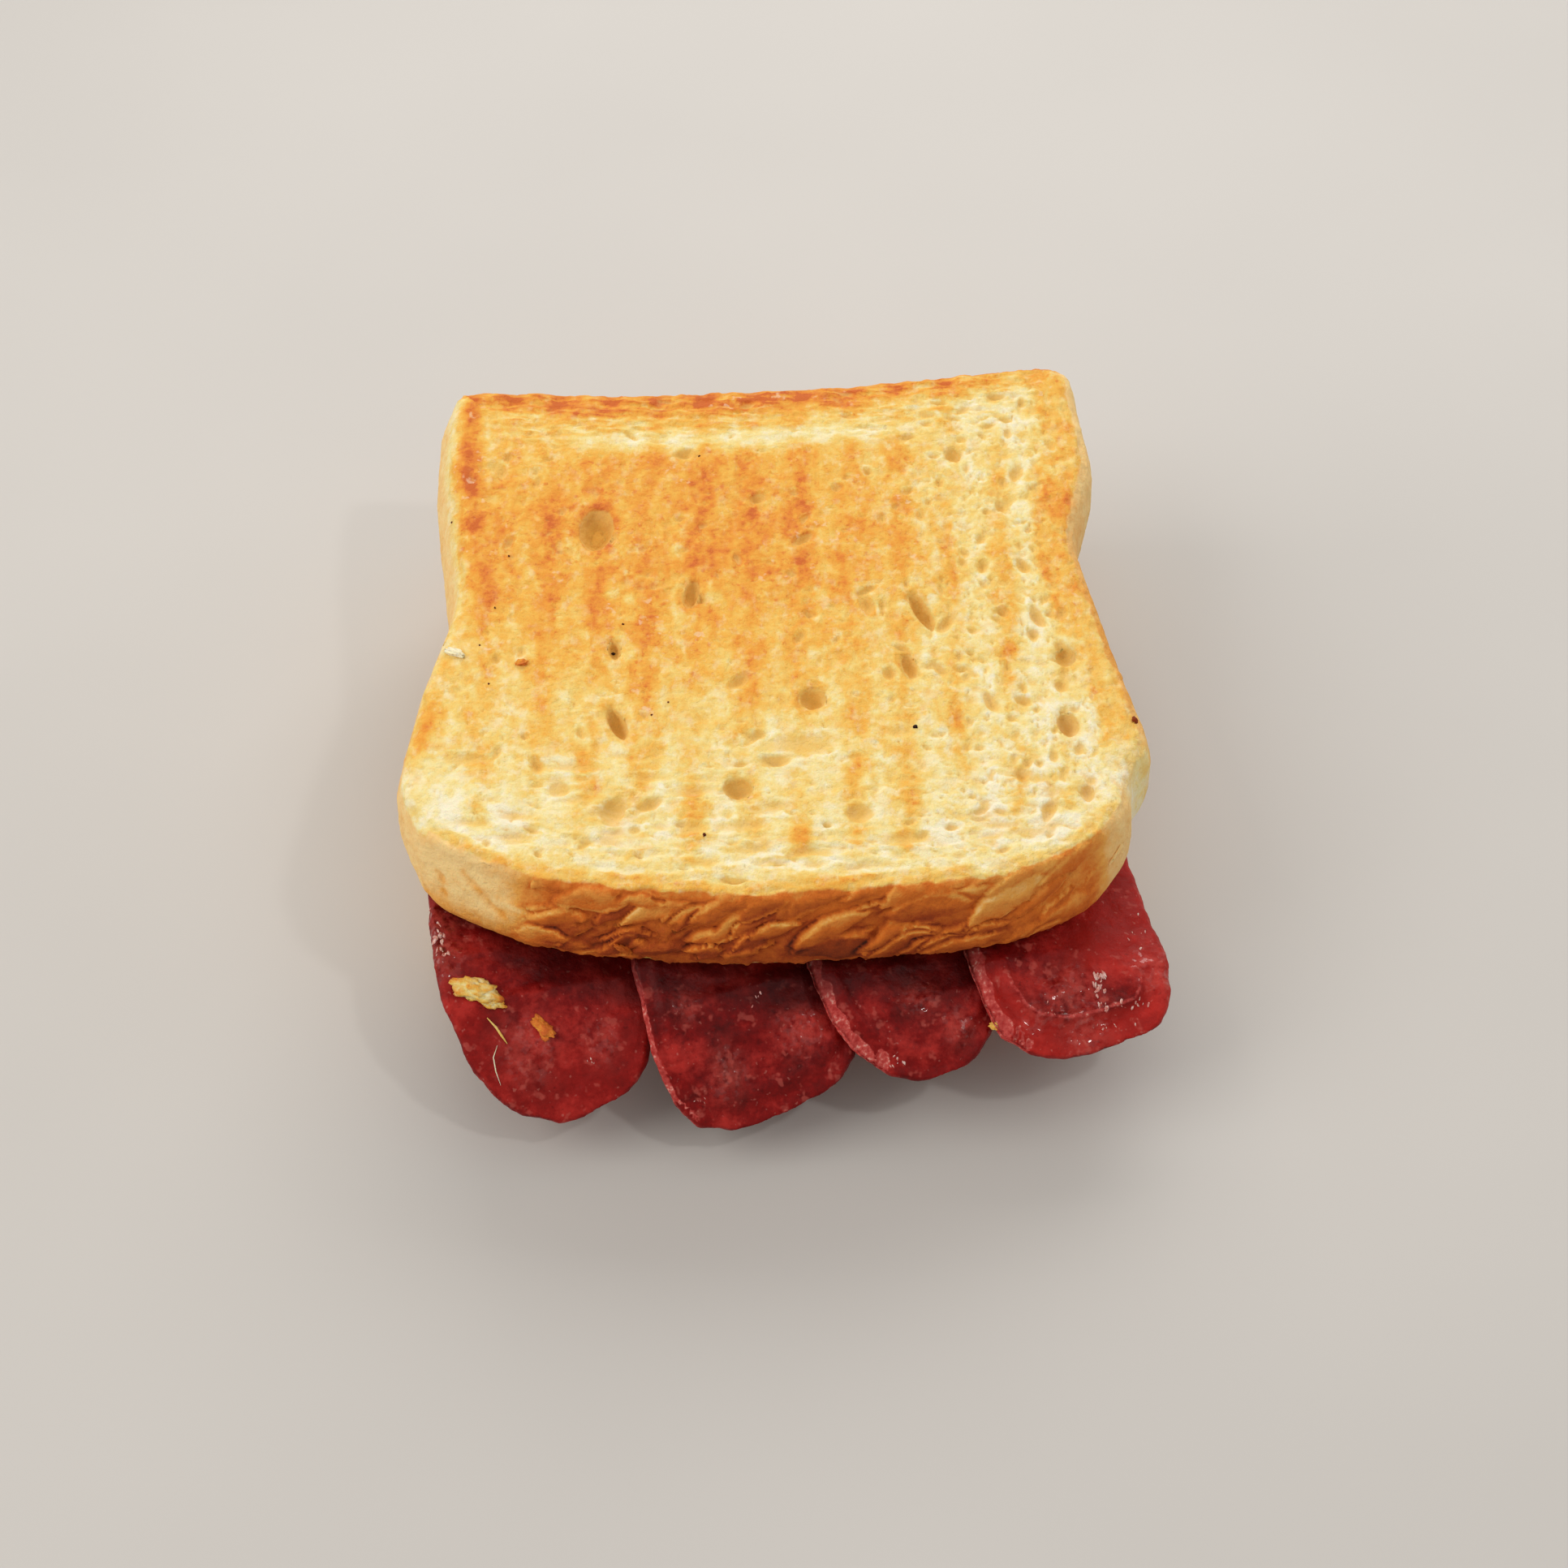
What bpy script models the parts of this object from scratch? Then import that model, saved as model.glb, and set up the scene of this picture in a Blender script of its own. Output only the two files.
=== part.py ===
"""A toasted sandwich: two slices of tin loaf, melted cheese and four long slices of sausage.

The origin is the middle of the bottom slice's flat underside. +Z is up, and -Y is the front,
where the loaf's domed top crust is and where the sausage slices hang out.
"""

import math

import bmesh
import bpy
from mathutils import Matrix, Vector

MM = 0.001
GAP = 0.3 * MM  # clearance left between pieces that touch

# ---- driving sizes, millimetres times MM -------------------------------------------------
BOTTOM_THICK = 14.0 * MM
CHEESE_THICK = 2.4 * MM  # under the lowest edges of the sausage slices
CHEESE_RISE = 8.6 * MM  # how far it wells up round the sausage slices
CHEESE_WAVE = 2.2 * MM  # how uneven that melted rim is
TOP_THICK = 14.8 * MM
SAUSAGE_THICK = 3.3 * MM
SAUSAGE_ROLL = math.radians(10.0)  # each slice's left edge rides on its neighbour
SAUSAGE_BACK_HALF = 14.8 * MM  # half width at the hidden back end
FRONT_EDGE = -54.5 * MM  # past this the sausage slices droop
DROOP = 0.036 / MM  # drop = DROOP * (distance past the edge) squared

# The loaf's outline seen from above: corners (x, y, radius) in millimetres, back left first,
# then down the left side, along the domed crust at the front and up the right side.
LOAF_CORNERS = (
    (-58.6, 53.4, 6.0),
    (-58.2, 32.0, 70.0),
    (-53.3, -1.0, 3.0),
    (-56.8, -17.0, 25.0),
    (-59.2, -37.0, 10.0),
    (-53.6, -50.6, 10.0),
    (-36.2, -59.2, 30.0),
    (-6.8, -62.8, 130.0),
    (34.2, -58.6, 60.0),
    (48.2, -51.4, 14.0),
    (54.6, -40.6, 3.0),
    (53.4, -36.8, 1.2),
    (58.4, -29.0, 5.0),
    (53.6, -8.0, 40.0),
    (48.8, 16.4, 3.0),
    (53.2, 34.2, 12.0),
    (51.5, 48.5, 30.0),
    (51.0, 60.4, 5.5),
    (11.2, 54.6, 80.0),
    (-23.8, 52.2, 100.0),
)
RING_POINTS = 170
BOTTOM_RING_POINTS = 110
CHEESE_RING_POINTS = 90
OUTLINE_STEP = 1.5 * MM

# The bottom slice is from the same loaf, a little smaller, turned and set back under the top.
BOTTOM_SCALE = (0.95, 0.94)
BOTTOM_TURN = math.radians(-3.0)
BOTTOM_SHIFT = (0.7 * MM, 2.0 * MM)

# How far the side wall stands in from the outline at each fraction of the slice's height.
CRUMB_PROFILE = (
    (0.0, 1.9),
    (0.05, 0.9),
    (0.16, 0.25),
    (0.34, 0.0),
    (0.5, 0.05),
    (0.66, 0.2),
    (0.8, 0.6),
    (0.9, 1.2),
    (0.97, 2.2),
    (1.0, 3.3),
)
FRONT_SLOPE = 2.3 * MM  # the domed crust leans out this much more towards its lower edge
LIP_BACK = 0.6  # share of that slope that the rounded upper lip doesn't take part in
FRONT_FACING = (0.35, 0.8)  # a wall is domed crust from partly to fully facing the front
LEFT_ROUND = 1.6 * MM  # extra rounding along the left side's upper edge
LEFT_FACING = (0.6, 0.95)
LEFT_STARTS = (-5.0 * MM, 8.0 * MM)  # that rounding comes in here, on the way to the back
WRINKLE_DEPTH = 0.75 * MM
WRINKLE_PITCH = 8.5 * MM
WRINKLE_SLANT = 9.0 * MM
WRINKLE_SWAY = 0.35  # share of the pitch by which the flakes wander
WRINKLE_SWAY_LENGTH = 5.0 * MM
WRINKLES_END = (30.0 * MM, 46.0 * MM)  # they die out here, to either side of the middle
WEB_INSETS = (0.86, 0.62, 0.3)  # sizes of the rings that close a flat face

# The melted layer's uneven rim: inset from the bottom slice's outline, and the extra at the
# front, which the sausage slices cover.
CHEESE_INSET = 1.5 * MM
CHEESE_FRONT_INSET = 2.5 * MM
CHEESE_FRONT_FACING = (0.3, 0.8)
OOZE_DEPTH = 0.5 * MM
OOZE_LENGTHS = (9.0 * MM, 7.0 * MM)
WAVE_LENGTHS = (11.0 * MM, 13.0 * MM)

# Open pores in the top slice's toasted face: x, y, half width, half length in millimetres,
# turn in degrees, depth in millimetres.
PORES = (
    (-30.0, 17.6, 2.9, 5.0, -4.0, 2.4),
    (-14.2, 2.9, 1.3, 3.3, -10.0, 1.8),
    (-26.1, -9.3, 1.1, 2.2, 10.0, 1.8),
    (-25.1, -24.7, 1.4, 3.8, 22.0, 2.2),
    (22.7, -0.7, 1.4, 4.8, 22.0, 2.0),
    (20.4, -12.5, 1.3, 2.9, 12.0, 1.6),
    (5.2, -19.6, 2.3, 2.4, -20.0, 1.9),
    (44.6, -24.9, 1.8, 2.7, 10.0, 1.9),
    (45.1, -10.7, 1.8, 2.3, -12.0, 1.5),
    (29.0, 35.4, 1.5, 2.0, 30.0, 1.3),
    (-6.2, -37.9, 2.5, 2.3, 0.0, 1.8),
    (-25.0, -42.2, 3.0, 2.0, 60.0, 1.3),
    (46.7, -38.5, 1.4, 1.8, 0.0, 1.3),
)

# Each sausage slice in plan: its middle line as four Bezier points, the half width where it
# leaves the bread, the length of its rounded nose, how blunt that nose is (2 is round) and how
# far its tip lies to the right, as a share of the half width.
SAUSAGES = (
    (((-37.0, 41.0), (-36.4, 3.0), (-44.8, -37.0), (-30.7, -74.1)), 16.8, 21.0, 2.5, 0.34),
    (((-13.3, 42.0), (-13.3, 3.0), (-14.0, -37.0), (-0.5, -73.7)), 16.7, 14.0, 3.0, 0.25),
    (((10.7, 43.5), (10.7, 3.0), (11.6, -35.0), (23.8, -70.1)), 15.6, 17.0, 2.1, 0.16),
    (((34.2, 44.0), (34.2, 3.0), (36.2, -33.0), (47.5, -67.7)), 15.6, 15.5, 3.0, 0.42),
)
SAUSAGE_STATIONS = 22
SAUSAGE_CORNER = 0.9 * MM  # softening of the cut edges
SAUSAGE_WIDENS = (0.35, 0.8)  # stretch of its length over which it takes its front width
TAIL_ROUND = 5.0 * MM
TAIL_BLUNT = 2.6
NOSE_TIP = 0.012  # share of the rounding left off, so that an end face keeps some width
TAIL_TIP = 0.03

COLOURS = {
    "toasted_bread": ((0.80, 0.50, 0.18), 0.75),
    "melted_cheese": ((0.86, 0.58, 0.16), 0.45),
    "sausage": ((0.22, 0.02, 0.015), 0.35),
}


def clear_scene():
    for old in list(bpy.data.objects):
        bpy.data.objects.remove(old, do_unlink=True)


def material(name):
    colour, roughness = COLOURS[name]
    made = bpy.data.materials.get(name) or bpy.data.materials.new(name)
    made.use_nodes = True
    shader = made.node_tree.nodes["Principled BSDF"]
    shader.inputs["Base Color"].default_value = (*colour, 1.0)
    shader.inputs["Roughness"].default_value = roughness
    shader.inputs["Metallic"].default_value = 0.0
    return made


def smoothstep(low, high, value):
    part = min(1.0, max(0.0, (value - low) / (high - low)))
    return part * part * (3.0 - 2.0 * part)


# ---- outlines ----------------------------------------------------------------------------
def rounded(corners):
    """The closed outline through the corners, each turned into an arc of its radius."""
    line = []
    count = len(corners)
    for index, (x, y, radius) in enumerate(corners):
        here = Vector((x, y)) * MM
        before = Vector(corners[index - 1][:2]) * MM - here
        after = Vector(corners[(index + 1) % count][:2]) * MM - here
        half = before.angle(after) / 2.0
        room = 0.48 * min(before.length, after.length)
        run = min(radius * MM / math.tan(half), room)
        arc_radius = run * math.tan(half)
        start = here + before.normalized() * run
        end = here + after.normalized() * run
        middle = here + (before.normalized() + after.normalized()).normalized() * (
            arc_radius / math.sin(half)
        )
        turn = (start - middle).angle_signed(end - middle)
        steps = max(2, int(abs(turn) * arc_radius / OUTLINE_STEP) + 1)
        for step in range(steps + 1):
            arm = (start - middle).copy()
            arm.rotate(Matrix.Rotation(-turn * step / steps, 2))
            line.append(middle + arm)
    return line


def resampled(line, count):
    """The same closed outline as count points at even distances."""
    closed = line + [line[0]]
    along = [0.0]
    for start, end in zip(closed, closed[1:]):
        along.append(along[-1] + (end - start).length)
    points = []
    piece = 0
    for index in range(count):
        target = along[-1] * index / count
        while along[piece + 1] < target:
            piece += 1
        span = along[piece + 1] - along[piece] or 1.0
        points.append(closed[piece].lerp(closed[piece + 1], (target - along[piece]) / span))
    return points


def softened(points):
    """The closed outline with each point drawn towards its neighbours."""
    return [
        points[i - 1] * 0.25 + points[i] * 0.5 + points[(i + 1) % len(points)] * 0.25
        for i in range(len(points))
    ]


def outward(points):
    """The outward normal at each point of an outline that runs anticlockwise."""
    normals = []
    for index in range(len(points)):
        along = points[(index + 1) % len(points)] - points[index - 1]
        normals.append(Vector((along.y, -along.x)).normalized())
    return normals


def loaf_outline(count, scale=(1.0, 1.0), turn=0.0, shift=(0.0, 0.0)):
    corners = [(x * scale[0], y * scale[1], radius) for x, y, radius in LOAF_CORNERS]
    line = softened(resampled(rounded(corners), count))
    turning = Matrix.Rotation(turn, 2)
    return [turning @ point + Vector(shift) for point in line]


# ---- closed bodies -----------------------------------------------------------------------
def bridge(bm, lower, upper):
    count = len(lower)
    for i in range(count):
        j = (i + 1) % count
        bm.faces.new((lower[i], lower[j], upper[j], upper[i]))


def web(bm, ring, height, facing_up):
    """Close a ring with smaller and smaller rings, each with half as many points."""
    middle = sum((vert.co for vert in ring), Vector()) / len(ring)
    for inset in WEB_INSETS:
        outer = ring
        ring = []
        for vert in outer[::2]:
            spot = middle.lerp(vert.co, inset)
            ring.append(bm.verts.new((spot.x, spot.y, height)))
        count = len(outer)
        for i in range(len(ring)):
            a = outer[2 * i]
            b = outer[(2 * i + 1) % count]
            c = outer[(2 * i + 2) % count]
            inner = ring[i]
            following = ring[(i + 1) % len(ring)]
            if 2 * i + 2 > count:
                triangles = ((a, b, following), (a, following, inner))
            else:
                triangles = ((a, b, inner), (b, c, following), (b, following, inner))
            for triangle in triangles:
                bm.faces.new(triangle if facing_up else triangle[::-1])
    bm.faces.new(ring if facing_up else ring[::-1])


def finish(name, bm, slot):
    mesh = bpy.data.meshes.new(name)
    bmesh.ops.recalc_face_normals(bm, faces=bm.faces)
    bm.to_mesh(mesh)
    bm.free()
    mesh.materials.append(material(slot))
    mesh.shade_smooth()
    mesh.set_sharp_from_angle(angle=math.radians(40.0))
    piece = bpy.data.objects.new(name, mesh)
    bpy.context.collection.objects.link(piece)
    return piece


def slab(name, slot, outline, low, high, inset_at):
    """A body between two heights whose wall stands in from the outline by inset_at."""
    bm = bmesh.new()
    normals = outward(outline)
    rings = []
    for fraction, inset in CRUMB_PROFILE:
        height = low + (high - low) * fraction
        ring = []
        for point, normal in zip(outline, normals):
            spot = point - normal * inset_at(fraction, inset * MM, point, normal)
            ring.append(bm.verts.new((spot.x, spot.y, height)))
        if rings:
            bridge(bm, rings[-1], ring)
        rings.append(ring)
    web(bm, rings[0], low, False)
    web(bm, rings[-1], high, True)
    return finish(name, bm, slot)


# ---- the two slices of bread -------------------------------------------------------------
def wrinkle(point, fraction):
    """Overlapping flakes in the domed crust, each steep on one side and long on the other."""
    flow = point.x / WRINKLE_PITCH - fraction * WRINKLE_SLANT / WRINKLE_PITCH
    sway = WRINKLE_SWAY * math.sin(point.x / WRINKLE_SWAY_LENGTH + 4.0 * fraction)
    saw = (flow + sway) % 1.0
    return WRINKLE_DEPTH * saw * math.sin(math.pi * min(1.0, 1.15 * fraction + 0.05))


def bread_wall(fraction, inset, point, normal):
    """How far the side of a slice stands in: crumb all round, domed crust at the front."""
    front = smoothstep(*FRONT_FACING, -normal.y)
    left = smoothstep(*LEFT_FACING, -normal.x) * smoothstep(*LEFT_STARTS, point.y)
    middle = 1.0 - smoothstep(*WRINKLES_END, abs(point.x))
    slope = smoothstep(0.1, 1.0, fraction) - LIP_BACK * smoothstep(0.8, 1.0, fraction)
    inset += left * LEFT_ROUND * smoothstep(0.35, 1.0, fraction)
    inset += front * FRONT_SLOPE * slope
    return inset + front * middle * wrinkle(point, fraction)


def cut_pores(bread, face_height):
    """Sink a squashed ball into the toasted face for each pore."""
    for number, (x, y, half_width, half_length, turn, depth) in enumerate(PORES, 1):
        bm = bmesh.new()
        bmesh.ops.create_uvsphere(bm, u_segments=12, v_segments=8, radius=1.0)
        stretch = Matrix.Diagonal((half_width * MM, half_length * MM, depth * MM, 1.0))
        spin = Matrix.Rotation(math.radians(turn), 4, "Z")
        place = Matrix.Translation((x * MM, y * MM, face_height))
        bm.transform(place @ spin @ stretch)
        cutter = finish(f"pore_cutter_{number}", bm, "toasted_bread")
        cutter.hide_render = True
        cutter.display_type = "WIRE"
        cut = bread.modifiers.new(f"pore {number}", "BOOLEAN")
        cut.operation = "DIFFERENCE"
        cut.object = cutter


def bread_bottom():
    line = loaf_outline(BOTTOM_RING_POINTS, BOTTOM_SCALE, BOTTOM_TURN, BOTTOM_SHIFT)
    return slab("bread_bottom", "toasted_bread", line, 0.0, BOTTOM_THICK, bread_wall)


def bread_top(low):
    line = loaf_outline(RING_POINTS)
    piece = slab("bread_top", "toasted_bread", line, low, low + TOP_THICK, bread_wall)
    cut_pores(piece, low + TOP_THICK)
    return piece


# ---- sausage -----------------------------------------------------------------------------
def bezier(points, t):
    """A point of the cubic curve and its direction there."""
    a, b, c, d = (Vector(point) * MM for point in points)
    s = 1.0 - t
    spot = a * s**3 + b * (3.0 * s * s * t) + c * (3.0 * s * t * t) + d * t**3
    along = (b - a) * (3.0 * s * s) + (c - b) * (6.0 * s * t) + (d - c) * (3.0 * t * t)
    return spot, along.normalized()


def draped(x, y, underside, height):
    """A point at a height above the slice's underside, bent down past the bread's front."""
    past = max(0.0, FRONT_EDGE - y)
    slope = 2.0 * DROOP * past
    upright = 1.0 / math.hypot(1.0, slope)
    return Vector((x, y - height * slope * upright, underside - DROOP * past**2 + height * upright))


def sausage_section(half_width, grow):
    """Offsets (across, up) round the cut: a flat strip with softened corners."""
    side = half_width + grow
    shoulder = side - min(SAUSAGE_CORNER, side * 0.4)
    low = -grow
    high = SAUSAGE_THICK + grow
    right = (
        (side * 0.5, low),
        (shoulder, low),
        (side, low + SAUSAGE_CORNER),
        (side, high - SAUSAGE_CORNER),
        (shoulder, high),
        (side * 0.5, high),
    )
    left = tuple((-across, up) for across, up in reversed(right))
    return right + left


def blunt_end(part, power):
    """The share of the full width at a part of the way from an end to where it is full."""
    return (1.0 - (1.0 - min(1.0, part)) ** power) ** (1.0 / power)


def sausage_slice(name, plan, base, grow=0.0):
    """A long cut of sausage; grow makes it larger all round, as the cutter for its bed."""
    middle_line, front_half, nose, blunt, lean = plan
    length = (Vector(middle_line[-1]) - Vector(middle_line[0])).length * MM
    middle_rise = SAUSAGE_BACK_HALF * math.sin(SAUSAGE_ROLL)
    bm = bmesh.new()
    rings = []
    for station in range(SAUSAGE_STATIONS + 1):
        t = 0.5 - 0.5 * math.cos(math.pi * station / SAUSAGE_STATIONS)
        spot, along = bezier(middle_line, t)
        across = Vector((-along.y, along.x))
        taper = blunt_end((1.0 - t) * length / (nose * MM) + NOSE_TIP, blunt)
        widened = (front_half * MM - SAUSAGE_BACK_HALF) * smoothstep(*SAUSAGE_WIDENS, t)
        half = (SAUSAGE_BACK_HALF + widened) * taper
        half *= blunt_end(t * length / TAIL_ROUND + TAIL_TIP, TAIL_BLUNT)
        spot += across * (lean * (1.0 - taper) * front_half * MM)
        if station == 0:
            spot -= along * grow
        if station == SAUSAGE_STATIONS:
            spot += along * grow
        ring = []
        for offset, height in sausage_section(half, grow):
            flat = spot + across * (offset * math.cos(SAUSAGE_ROLL))
            rise = middle_rise - offset * math.sin(SAUSAGE_ROLL)
            ring.append(bm.verts.new(draped(flat.x, flat.y, base + rise, height)))
        if rings:
            bridge(bm, rings[-1], ring)
        rings.append(ring)
    bm.faces.new(rings[0])
    bm.faces.new(rings[-1])
    return finish(name, bm, "sausage")


# ---- cheese ------------------------------------------------------------------------------
def cheese(low, base):
    """A melted layer as wide as the bread, pressed to the underside of every slice."""
    outline = loaf_outline(CHEESE_RING_POINTS, BOTTOM_SCALE, BOTTOM_TURN, BOTTOM_SHIFT)

    def wall(fraction, inset, point, normal):
        ooze = math.sin(point.x / OOZE_LENGTHS[0]) + math.sin(point.y / OOZE_LENGTHS[1] + 1.0)
        front = smoothstep(*CHEESE_FRONT_FACING, -normal.y)
        return inset + CHEESE_INSET - OOZE_DEPTH * ooze + CHEESE_FRONT_INSET * front

    high = low + CHEESE_THICK + CHEESE_RISE
    piece = slab("cheese", "melted_cheese", outline, low, high, wall)
    for vert in piece.data.vertices:
        wave = math.sin(vert.co.x / WAVE_LENGTHS[0]) * math.cos(vert.co.y / WAVE_LENGTHS[1])
        share = (vert.co.z - low) / (high - low)
        vert.co.z -= share * CHEESE_WAVE * (0.5 + 0.5 * wave)
    for number, plan in enumerate(SAUSAGES, 1):
        cutter = sausage_slice(f"sausage_cutter_{number}", plan, base, GAP)
        cutter.hide_render = True
        cutter.display_type = "WIRE"
        cut = piece.modifiers.new(f"slice {number}", "BOOLEAN")
        cut.operation = "DIFFERENCE"
        cut.object = cutter
    return piece


clear_scene()
bread_bottom()
cheese_low = BOTTOM_THICK + GAP
sausage_low = cheese_low + CHEESE_THICK + GAP
cheese(cheese_low, sausage_low)
for slice_number, slice_plan in enumerate(SAUSAGES, 1):
    sausage_slice(f"sausage_{slice_number}", slice_plan, sausage_low)
stack = 2.0 * SAUSAGE_BACK_HALF * math.sin(SAUSAGE_ROLL) + SAUSAGE_THICK
bread_top(sausage_low + stack + GAP)
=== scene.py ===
"""The looks of a toasted sandwich of loaf bread, melted cheese and long slices of sausage.

Everything is in metres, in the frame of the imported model: +Z up, the domed crust of the bread
and the free ends of the sausage slices at the front, towards -Y.
"""

import math

import bmesh
import bpy
import numpy as np
from mathutils import Matrix, Vector, noise
from mathutils.bvhtree import BVHTree
from mathutils.kdtree import KDTree


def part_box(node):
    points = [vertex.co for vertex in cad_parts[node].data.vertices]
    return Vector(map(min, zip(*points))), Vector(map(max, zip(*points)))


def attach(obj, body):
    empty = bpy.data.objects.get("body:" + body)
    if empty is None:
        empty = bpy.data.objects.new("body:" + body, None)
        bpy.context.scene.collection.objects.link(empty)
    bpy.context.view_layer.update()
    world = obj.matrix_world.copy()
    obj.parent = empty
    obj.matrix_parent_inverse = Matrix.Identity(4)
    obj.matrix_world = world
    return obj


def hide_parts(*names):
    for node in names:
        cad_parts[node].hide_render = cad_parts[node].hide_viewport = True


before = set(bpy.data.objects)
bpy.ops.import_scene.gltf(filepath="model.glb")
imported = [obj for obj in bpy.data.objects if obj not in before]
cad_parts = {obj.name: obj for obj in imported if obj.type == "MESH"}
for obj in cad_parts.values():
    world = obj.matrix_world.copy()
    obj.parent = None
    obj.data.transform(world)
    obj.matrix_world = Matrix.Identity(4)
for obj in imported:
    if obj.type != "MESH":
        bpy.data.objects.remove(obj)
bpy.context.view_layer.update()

# ---- table, light and camera -------------------------------------------------------------
# A pale, matt table top in a pale room, one large soft light behind the sandwich and a little
# to the right, a weaker one at the left, and a small lamp high up at the right. The camera
# looks down from the front.
CAMERA_PLACE = (0.0007, -0.3243, 0.3790)
CAMERA_DOWN = math.radians(49.699)
CAMERA_FIELD = math.radians(30.0)
CAMERA_SENSOR = 36.0
TABLE_WIDTH = 1.8
TABLE_GRAIN = 0.16
LIGHTS = (
    # name, place, width and height in metres, power in watts, colour
    ("window_behind", (0.14, 0.97, 0.78), (1.1, 0.5), 7.2, (1.0, 0.97, 0.93)),
    ("glow_at_left", (-0.85, -0.2, 0.75), (0.8, 0.8), 5.0, (1.0, 0.95, 0.89)),
    ("lamp_above", (0.62, -0.32, 1.12), (0.08, 0.08), 1.5, (1.0, 0.97, 0.94)),
)
ROOM_COLOUR = (1.0, 0.97, 0.93, 1.0)
ROOM_STRENGTH = 0.5


def shade(red, green, blue):
    """A colour given as seen on a screen, 0 to 255, as the shader wants it."""
    return tuple((part / 255.0) ** 2.2 for part in (red, green, blue)) + (1.0,)


class Wire:
    """One output of a shader node. Sums of wires add the nodes that work them out."""

    def __init__(self, finish, socket):
        self.finish = finish
        self.socket = socket

    def maths(self, operation, first, second):
        return self.finish.node("ShaderNodeMath", {"operation": operation}, {0: first, 1: second})

    def __add__(self, other):
        return self.maths("ADD", self, other)

    __radd__ = __add__

    def __sub__(self, other):
        return self.maths("SUBTRACT", self, other)

    def __rsub__(self, other):
        return self.maths("SUBTRACT", other, self)

    def __mul__(self, other):
        return self.maths("MULTIPLY", self, other)

    __rmul__ = __mul__

    def between(self, low, high):
        """0 up to low, 1 from high on, and a soft step in between."""
        limits = {"interpolation_type": "SMOOTHSTEP"}
        return self.finish.node("ShaderNodeMapRange", limits, {0: self, 1: low, 2: high})


class Finish:
    """A material, built up from its Principled shader."""

    def __init__(self, name, **fixed):
        self.material = bpy.data.materials.new(name)
        self.material.use_nodes = True
        self.tree = self.material.node_tree
        self.shader = self.tree.nodes["Principled BSDF"]
        for socket, value in fixed.items():
            self.shader.inputs[socket.replace("_", " ")].default_value = value

    def node(self, kind, settings, sockets, output=0):
        """Add a node: its settings are set first, then the values or links of its sockets."""
        made = self.tree.nodes.new(kind)
        for name, value in settings.items():
            if name == "stops":
                self.set_stops(made.color_ramp, value)
            else:
                setattr(made, name, value)
        for socket, value in sockets.items():
            if isinstance(value, Wire):
                self.tree.links.new(value.socket, made.inputs[socket])
            else:
                made.inputs[socket].default_value = value
        return Wire(self, made.outputs[output])

    def set_stops(self, ramp, stops):
        """Give a colour ramp its stops, each a place from 0 to 1 and a colour."""
        while len(ramp.elements) < len(stops):
            ramp.elements.new(1.0)
        for element, (place, colour) in zip(ramp.elements, stops):
            element.position = place
            element.color = colour

    def ramp(self, amount, stops):
        return self.node("ShaderNodeValToRGB", {"stops": stops}, {0: amount})

    def mix(self, amount, first, second):
        """The first colour, with the second laid over it by an amount from 0 to 1."""
        settings = {"data_type": "RGBA", "clamp_factor": True}
        return self.node("ShaderNodeMix", settings, {0: amount, 6: first, 7: second}, 2)

    def attribute(self, name):
        """A value that was kept on the points of the mesh."""
        return self.node("ShaderNodeAttribute", {"attribute_name": name}, {}, "Fac")

    def place(self, stretch=(1.0, 1.0, 1.0)):
        """Where a point lies, in metres, stretched along the axes."""
        here = self.node("ShaderNodeTexCoord", {}, {}, "Object")
        return self.node("ShaderNodeVectorMath", {"operation": "MULTIPLY"}, {0: here, 1: stretch})

    def mottle(self, place, size, detail=2.0, rough=0.5):
        """Soft noise round 0.5, with blotches of one size in metres."""
        sockets = {"Vector": place, "Scale": 1.0 / size, "Detail": detail, "Roughness": rough}
        return self.node("ShaderNodeTexNoise", {}, sockets, 0)

    def paint(self, **varying):
        """Link what changes over the surface to the shader."""
        for socket, wire in varying.items():
            self.tree.links.new(wire.socket, self.shader.inputs[socket.replace("_", " ")])
        return self.material

    def bump(self, height, depth):
        """Fine relief that is too small for the mesh."""
        return self.node("ShaderNodeBump", {}, {"Distance": depth, "Height": height})


table = Finish("table_top", Roughness=0.5)
grain = table.mottle(table.place(), TABLE_GRAIN, 3.0)
table.paint(Base_Color=table.ramp(grain, [(0.3, shade(198, 195, 191)), (0.7, shade(204, 201, 197))]))

bpy.ops.mesh.primitive_plane_add(size=TABLE_WIDTH)
floor = bpy.context.object
floor.name = "table_top"
floor.data.materials.append(table.material)


def soft_light(name, place, size, power, colour):
    """A square or oblong light that shines at the middle of the table."""
    lamp = bpy.data.lights.new(name, "AREA")
    lamp.shape = "RECTANGLE"
    lamp.size = size[0]
    lamp.size_y = size[1]
    lamp.energy = power
    lamp.color = colour
    holder = bpy.data.objects.new(name, lamp)
    holder.location = place
    holder.rotation_euler = (-Vector(place)).to_track_quat("-Z", "Y").to_euler()
    bpy.context.collection.objects.link(holder)


for light in LIGHTS:
    soft_light(*light)

room = bpy.data.worlds.new("room")
room.use_nodes = True
room.node_tree.nodes["Background"].inputs["Color"].default_value = ROOM_COLOUR
room.node_tree.nodes["Background"].inputs["Strength"].default_value = ROOM_STRENGTH
bpy.context.scene.world = room
bpy.context.scene.view_settings.view_transform = "Standard"

camera_data = bpy.data.cameras.new("camera")
camera_data.sensor_width = CAMERA_SENSOR
camera_data.angle = CAMERA_FIELD
camera = bpy.data.objects.new("camera", camera_data)
camera.location = CAMERA_PLACE
camera.rotation_euler = (math.pi / 2.0 - CAMERA_DOWN, 0.0, 0.0)
bpy.context.collection.objects.link(camera)
bpy.context.scene.camera = camera

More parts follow.
